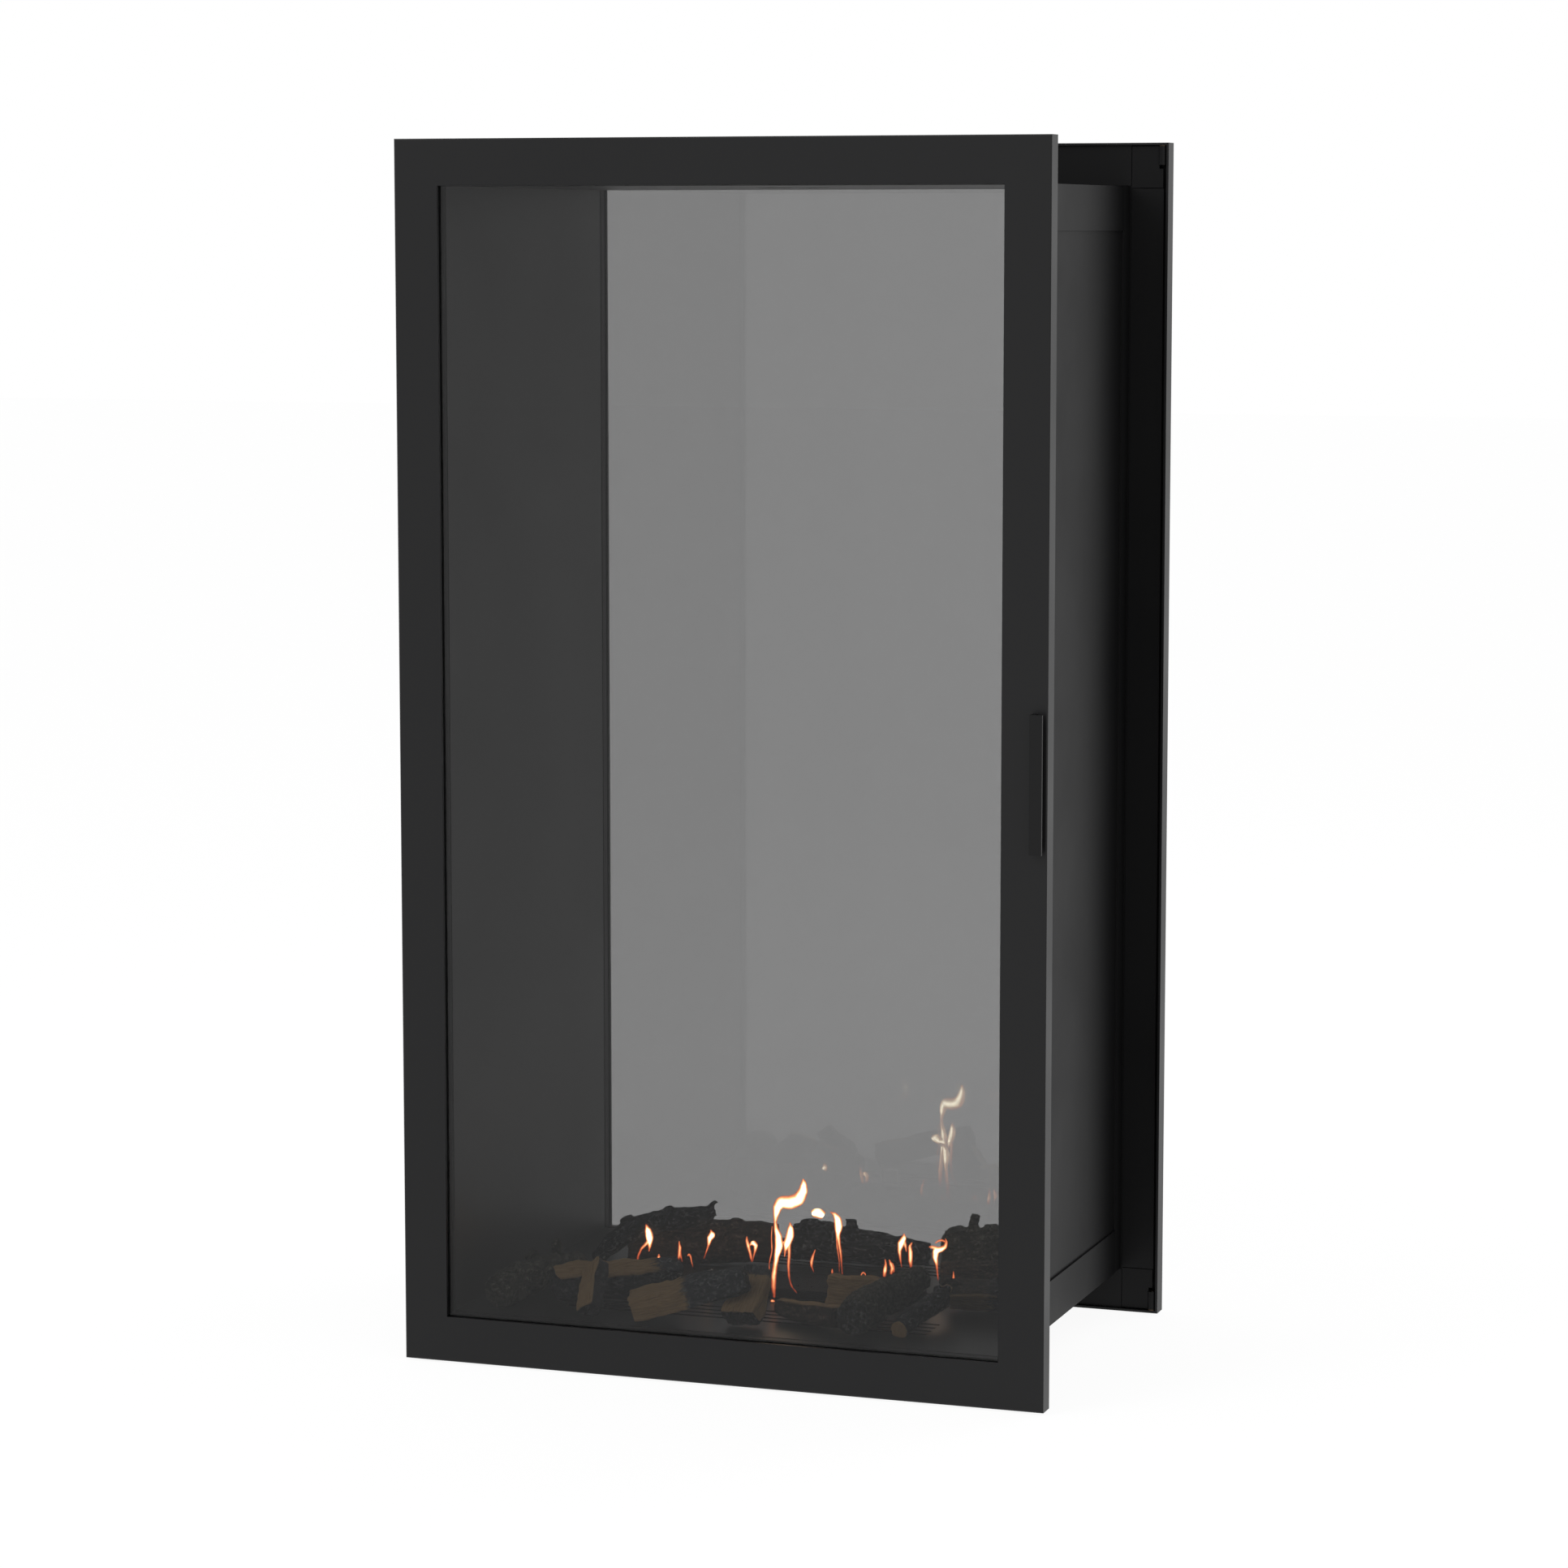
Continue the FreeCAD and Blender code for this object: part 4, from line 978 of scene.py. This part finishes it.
def make_log(name, spec, materials, settings, seed):
    start = Vector(spec["start"]) * BED_HALF
    end = Vector(spec["end"]) * BED_HALF
    along = (end - start).normalized()
    length = (end - start).length
    radii = [share * BED_HALF for share in spec["radii"]]
    middle = sum(radii) / 2
    piece = log_blank(name, spec, length, radii)
    remesh = piece.modifiers.new("skin", "REMESH")
    remesh.mode = "VOXEL"
    remesh.voxel_size = settings.voxel
    apply_modifiers(piece)

    points = vectors(piece)
    split, ends = cut_distances(points, spec, length, middle)
    bark = fade(split, *SPLIT_RIM)
    if spec.get("sawn"):
        bark = np.minimum(bark, fade(ends, *SAWN_RIM))
    weigh(piece, "rind", bark)
    weigh(piece, "fibre", 1 - bark)
    relief = lay_relief(piece, spec, settings, min(1.0, middle / FULL_RELIEF_RADIUS), seed)
    piece.vertex_groups.clear()

    dice = random.Random(seed)
    shift = np.array([dice.uniform(-3, 3) for _ in range(3)])
    near, far = spec.get("char", NO_CHAR)
    char = np.clip((points[:, 0] / length - near) / (far - near), 0, 1)
    if spec["finish"] == "log_char":
        char = char * bark
    set_attribute(piece, "grain", points + shift)
    set_attribute(piece, "bark", bark)
    set_attribute(piece, "relief", relief)
    set_attribute(piece, "char", char)

    lay_down(piece, name, start, along)
    bpy.ops.object.shade_smooth_by_angle(angle=FACE_SHARPNESS)
    piece.name = name + "_piece"
    put(piece, materials[spec["finish"]], ROOT_BODY, (name,))


# Flames

TONGUE_STEPS = 5
TONGUE_SIDES = 7
FULL_GLOW = 5.0 * MM
LEAST_WIDTH = 0.3 * MM
THIN_GLOW = 0.35
GLOW_ROUNDING = 0.7
FOOT_GLOW = 0.45
FOOT_SHARE = 0.4


def core_share(points, strokes):
    """How near each point is to a stroke's middle line, from 0 at its edge, less in thin tongues and
    towards the foot."""
    flat = points[:, (0, 2)]
    best = np.zeros(len(points))
    for stroke in strokes:
        line = np.array(stroke, float) * MM
        for a, b in zip(line[:-1], line[1:]):
            run = b[:2] - a[:2]
            share = np.clip(((flat - a[:2]) @ run) / max(run @ run, 1e-12), 0, 1)
            away = np.linalg.norm(flat - a[:2] - share[:, None] * run, axis=1)
            width = np.maximum(a[2] + (b[2] - a[2]) * share, LEAST_WIDTH)
            full = np.clip(width / FULL_GLOW, THIN_GLOW, 1)
            best = np.maximum(best, full * np.clip(1 - away / width, 0, 1) ** GLOW_ROUNDING)
    foot, tip = flat[:, 1].min(), flat[:, 1].max()
    rise = np.clip((flat[:, 1] - foot) / max(tip - foot, MM), 0, 1)
    return best * (FOOT_GLOW + (1 - FOOT_GLOW) * fade(rise, 0.0, FOOT_SHARE))


def make_flame(name, foot, strokes, material, settings):
    """One flame: a flattened tongue of gas along each stroke."""
    deselect()
    bpy.ops.curve.primitive_nurbs_path_add()
    piece = bpy.context.object
    piece.name = "flame_" + name
    shape = piece.data
    shape.splines.clear()
    shape.dimensions = "3D"
    shape.bevel_depth = MM
    shape.bevel_resolution = TONGUE_SIDES
    shape.use_fill_caps = True
    wide = [[(side, up, width * settings.spread) for side, up, width in stroke] for stroke in strokes]
    for stroke in wide:
        line = shape.splines.new("NURBS")
        line.points.add(len(stroke) - 1)
        for point, (side, up, width) in zip(line.points, stroke):
            point.co = (side * MM, 0, up * MM, 1)
            point.radius = width
        line.order_u = 3
        line.use_endpoint_u = True
        line.resolution_u = TONGUE_STEPS
    bpy.ops.object.convert(target="MESH")
    bpy.ops.object.mode_set(mode="EDIT")
    bpy.ops.mesh.select_all(action="SELECT")
    bpy.ops.transform.resize(value=(1, settings.thinness, 1), center_override=(0, 0, 0))
    bpy.ops.object.mode_set(mode="OBJECT")
    set_attribute(piece, "core", core_share(vectors(piece), wide))
    place = Vector(foot) * MM + Vector((0, 0, FIRE_FLOOR))
    activate(piece)
    piece.matrix_world = Matrix.Translation(place) @ Matrix.Rotation(settings.turn, 4, "Z")
    bpy.ops.object.transform_apply()
    bpy.ops.object.shade_smooth()
    put(piece, material, ROOT_BODY)


# Operators

SENSOR_WIDTH = 36
VIEW_REACH = 100
FLOOR_PALE = (0.86, 0.86, 0.86)
FLOOR_LIGHT = (0.9, 0.9, 0.9)
FLOOR_SPECKLE = 30.0
FLOOR_WHITE = 1.04
FLOOR_WHITE_SHARE = 0.9
LAMP_AIM = Vector((0, 0, 0.7))
LAMP_SIZE = 2.4
LAMPS = {"key_lamp": ((-2.2, -3.4, 3.4), "key_power"), "fill_lamp": ((2.6, 3.2, 3.0), "fill_power")}


def seen_directly(tree):
    """1 for rays from the camera, from mirrors and through glass, and 0 for the light on the fireplace."""
    path = add(tree, "LightPath").outputs
    return calc(tree, "MAXIMUM", path["Is Camera Ray"],
                calc(tree, "MAXIMUM", path["Is Glossy Ray"], path["Is Transmission Ray"]))


class FIREPLACE_OT_stage(bpy.types.Operator):
    """Camera, pale studio floor, lamps and surroundings"""
    bl_idname = "fireplace.stage"
    bl_label = "Set the stage"

    def execute(self, context):
        settings = context.scene.fireplace_stage
        scene = context.scene
        scene.view_settings.view_transform = "Standard"
        deselect()
        bpy.ops.object.camera_add(location=settings.camera_place,
                                  rotation=(math.pi / 2 - settings.camera_tilt, 0, settings.camera_yaw))
        camera = context.object
        camera.name = "studio_camera"
        camera.data.lens = settings.lens
        camera.data.sensor_width = SENSOR_WIDTH
        camera.data.clip_end = VIEW_REACH
        scene.camera = camera
        self.floor(settings)
        self.surroundings(scene, settings)
        self.lamps(settings)
        return {"FINISHED"}

    def floor(self, settings):
        """White to the eye and to mirrors, and still darkened where the fireplace shades it."""
        deselect()
        bpy.ops.mesh.primitive_plane_add(size=settings.floor_size, location=(0, 0, cad_low.z))
        floor = bpy.context.object
        floor.name = "studio_floor"
        bpy.ops.object.transform_apply()
        mat, tree = new_material("studio_floor")
        speckle = noise(tree, object_place(tree), FLOOR_SPECKLE)
        pale = add(tree, "BsdfPrincipled", {
            "Base Color": blend(tree, speckle, FLOOR_PALE, FLOOR_LIGHT),
            "Roughness": 0.9,
            "Specular IOR Level": 0.1,
        })
        share = calc(tree, "MULTIPLY", seen_directly(tree), FLOOR_WHITE_SHARE)
        white = add(tree, "Emission", {"Color": WHITE, "Strength": FLOOR_WHITE})
        surface = add(tree, "MixShader", {0: share, 1: pale.outputs[0], 2: white.outputs[0]})
        finish_material(mat, surface)
        floor.data.materials.append(mat)

    def surroundings(self, scene, settings):
        """White behind and in mirrors, and an even soft light on the fireplace."""
        world = bpy.data.worlds.new("studio")
        scene.world = world
        world.use_nodes = True
        tree = world.node_tree
        tree.nodes.clear()
        strength = spread(tree, seen_directly(tree), 0.0, 1.0, settings.ambient, 1.0)
        back = add(tree, "Background", {"Color": WHITE, "Strength": strength})
        add(tree, "OutputWorld", {"Surface": back.outputs[0]})

    def lamps(self, settings):
        for name, (place, power) in LAMPS.items():
            deselect()
            turn = (LAMP_AIM - Vector(place)).to_track_quat("-Z", "Y").to_euler()
            bpy.ops.object.light_add(type="AREA", location=place, rotation=turn)
            lamp = bpy.context.object
            lamp.name = name
            lamp.data.shape = "DISK"
            lamp.data.size = LAMP_SIZE
            lamp.data.energy = getattr(settings, power)
            lamp.visible_camera = lamp.visible_glossy = lamp.visible_transmission = False


def coat(finish, material):
    """Gives the CAD nodes that share a finish its material."""
    for node in FINISHES[finish]:
        for slot in frame["nodes"][node].material_slots:
            slot.material = material


class FIREPLACE_OT_metal(bpy.types.Operator):
    """Stove paint, bare metal, cord and rubber on the parts of the frame"""
    bl_idname = "fireplace.metal"
    bl_label = "Finish the metal parts"

    def execute(self, context):
        settings = context.scene.fireplace_steel
        made = {
            "rope": woven_rope(),
            "galvanised": spangled_zinc(),
            "burner_black": burner_enamel(),
            "rubber_foot": black_rubber(),
        }
        for finish, (colour, rougher, specular) in PAINTS.items():
            made[finish] = stove_paint(finish + "_paint", getattr(settings, colour),
                                       settings.paint_roughness + rougher, specular)
        for finish, metal in METALS.items():
            made[finish] = bare_metal(*metal)
        for finish, material in made.items():
            coat(finish, material)
        return {"FINISHED"}


class FIREPLACE_OT_glass(bpy.types.Operator):
    """Grey ceramic glass in both doors"""
    bl_idname = "fireplace.glass"
    bl_label = "Glaze the doors"

    def execute(self, context):
        coat("glass", tinted_glass(context.scene.fireplace_glass))
        return {"FINISHED"}


class FIREPLACE_OT_logs(bpy.types.Operator):
    """Ceramic logs on the fire floor, in place of their plain solids"""
    bl_idname = "fireplace.logs"
    bl_label = "Lay the logs"

    def execute(self, context):
        settings = context.scene.fireplace_logs
        materials = {finish: log_material(finish, *tones) for finish, tones in LOG_FINISHES.items()}
        for seed, (name, spec) in enumerate(LOGS.items()):
            make_log(name, spec, materials, settings, seed + 1)
        return {"FINISHED"}


class FIREPLACE_OT_flames(bpy.types.Operator):
    """Gas flames over the burner"""
    bl_idname = "fireplace.flames"
    bl_label = "Light the flames"

    def execute(self, context):
        settings = context.scene.fireplace_flames
        material = flame_material(settings)
        for name, (foot, strokes) in FLAMES.items():
            make_flame(name, foot, strokes, material, settings)
        return {"FINISHED"}


class FIREPLACE_PT_panel(bpy.types.Panel):
    """Lists the steps in the sidebar"""
    bl_idname = "FIREPLACE_PT_panel"
    bl_label = "Fireplace"
    bl_space_type = "VIEW_3D"
    bl_region_type = "UI"
    bl_category = "Fireplace"

    def draw(self, context):
        for operator in OPERATORS:
            self.layout.operator(operator.bl_idname)
        for name, group in SETTINGS.items():
            box = self.layout.box()
            for key in group.__annotations__:
                box.prop(getattr(context.scene, name), key)


SETTINGS = {
    "fireplace_stage": StageSettings,
    "fireplace_steel": SteelSettings,
    "fireplace_glass": GlassSettings,
    "fireplace_logs": LogSettings,
    "fireplace_flames": FlameSettings,
}
OPERATORS = (FIREPLACE_OT_stage, FIREPLACE_OT_metal, FIREPLACE_OT_glass, FIREPLACE_OT_logs,
             FIREPLACE_OT_flames)


def register():
    for name, group in SETTINGS.items():
        bpy.utils.register_class(group)
        setattr(bpy.types.Scene, name, bpy.props.PointerProperty(type=group))
    for operator in OPERATORS:
        bpy.utils.register_class(operator)
    bpy.utils.register_class(FIREPLACE_PT_panel)


def unregister():
    bpy.utils.unregister_class(FIREPLACE_PT_panel)
    for operator in reversed(OPERATORS):
        bpy.utils.unregister_class(operator)
    for name, group in reversed(SETTINGS.items()):
        delattr(bpy.types.Scene, name)
        bpy.utils.unregister_class(group)


def main():
    register()
    for operator in OPERATORS:
        group, step = operator.bl_idname.split(".")
        getattr(getattr(bpy.ops, group), step)()
    deselect()


if __name__ == "__main__":
    main()
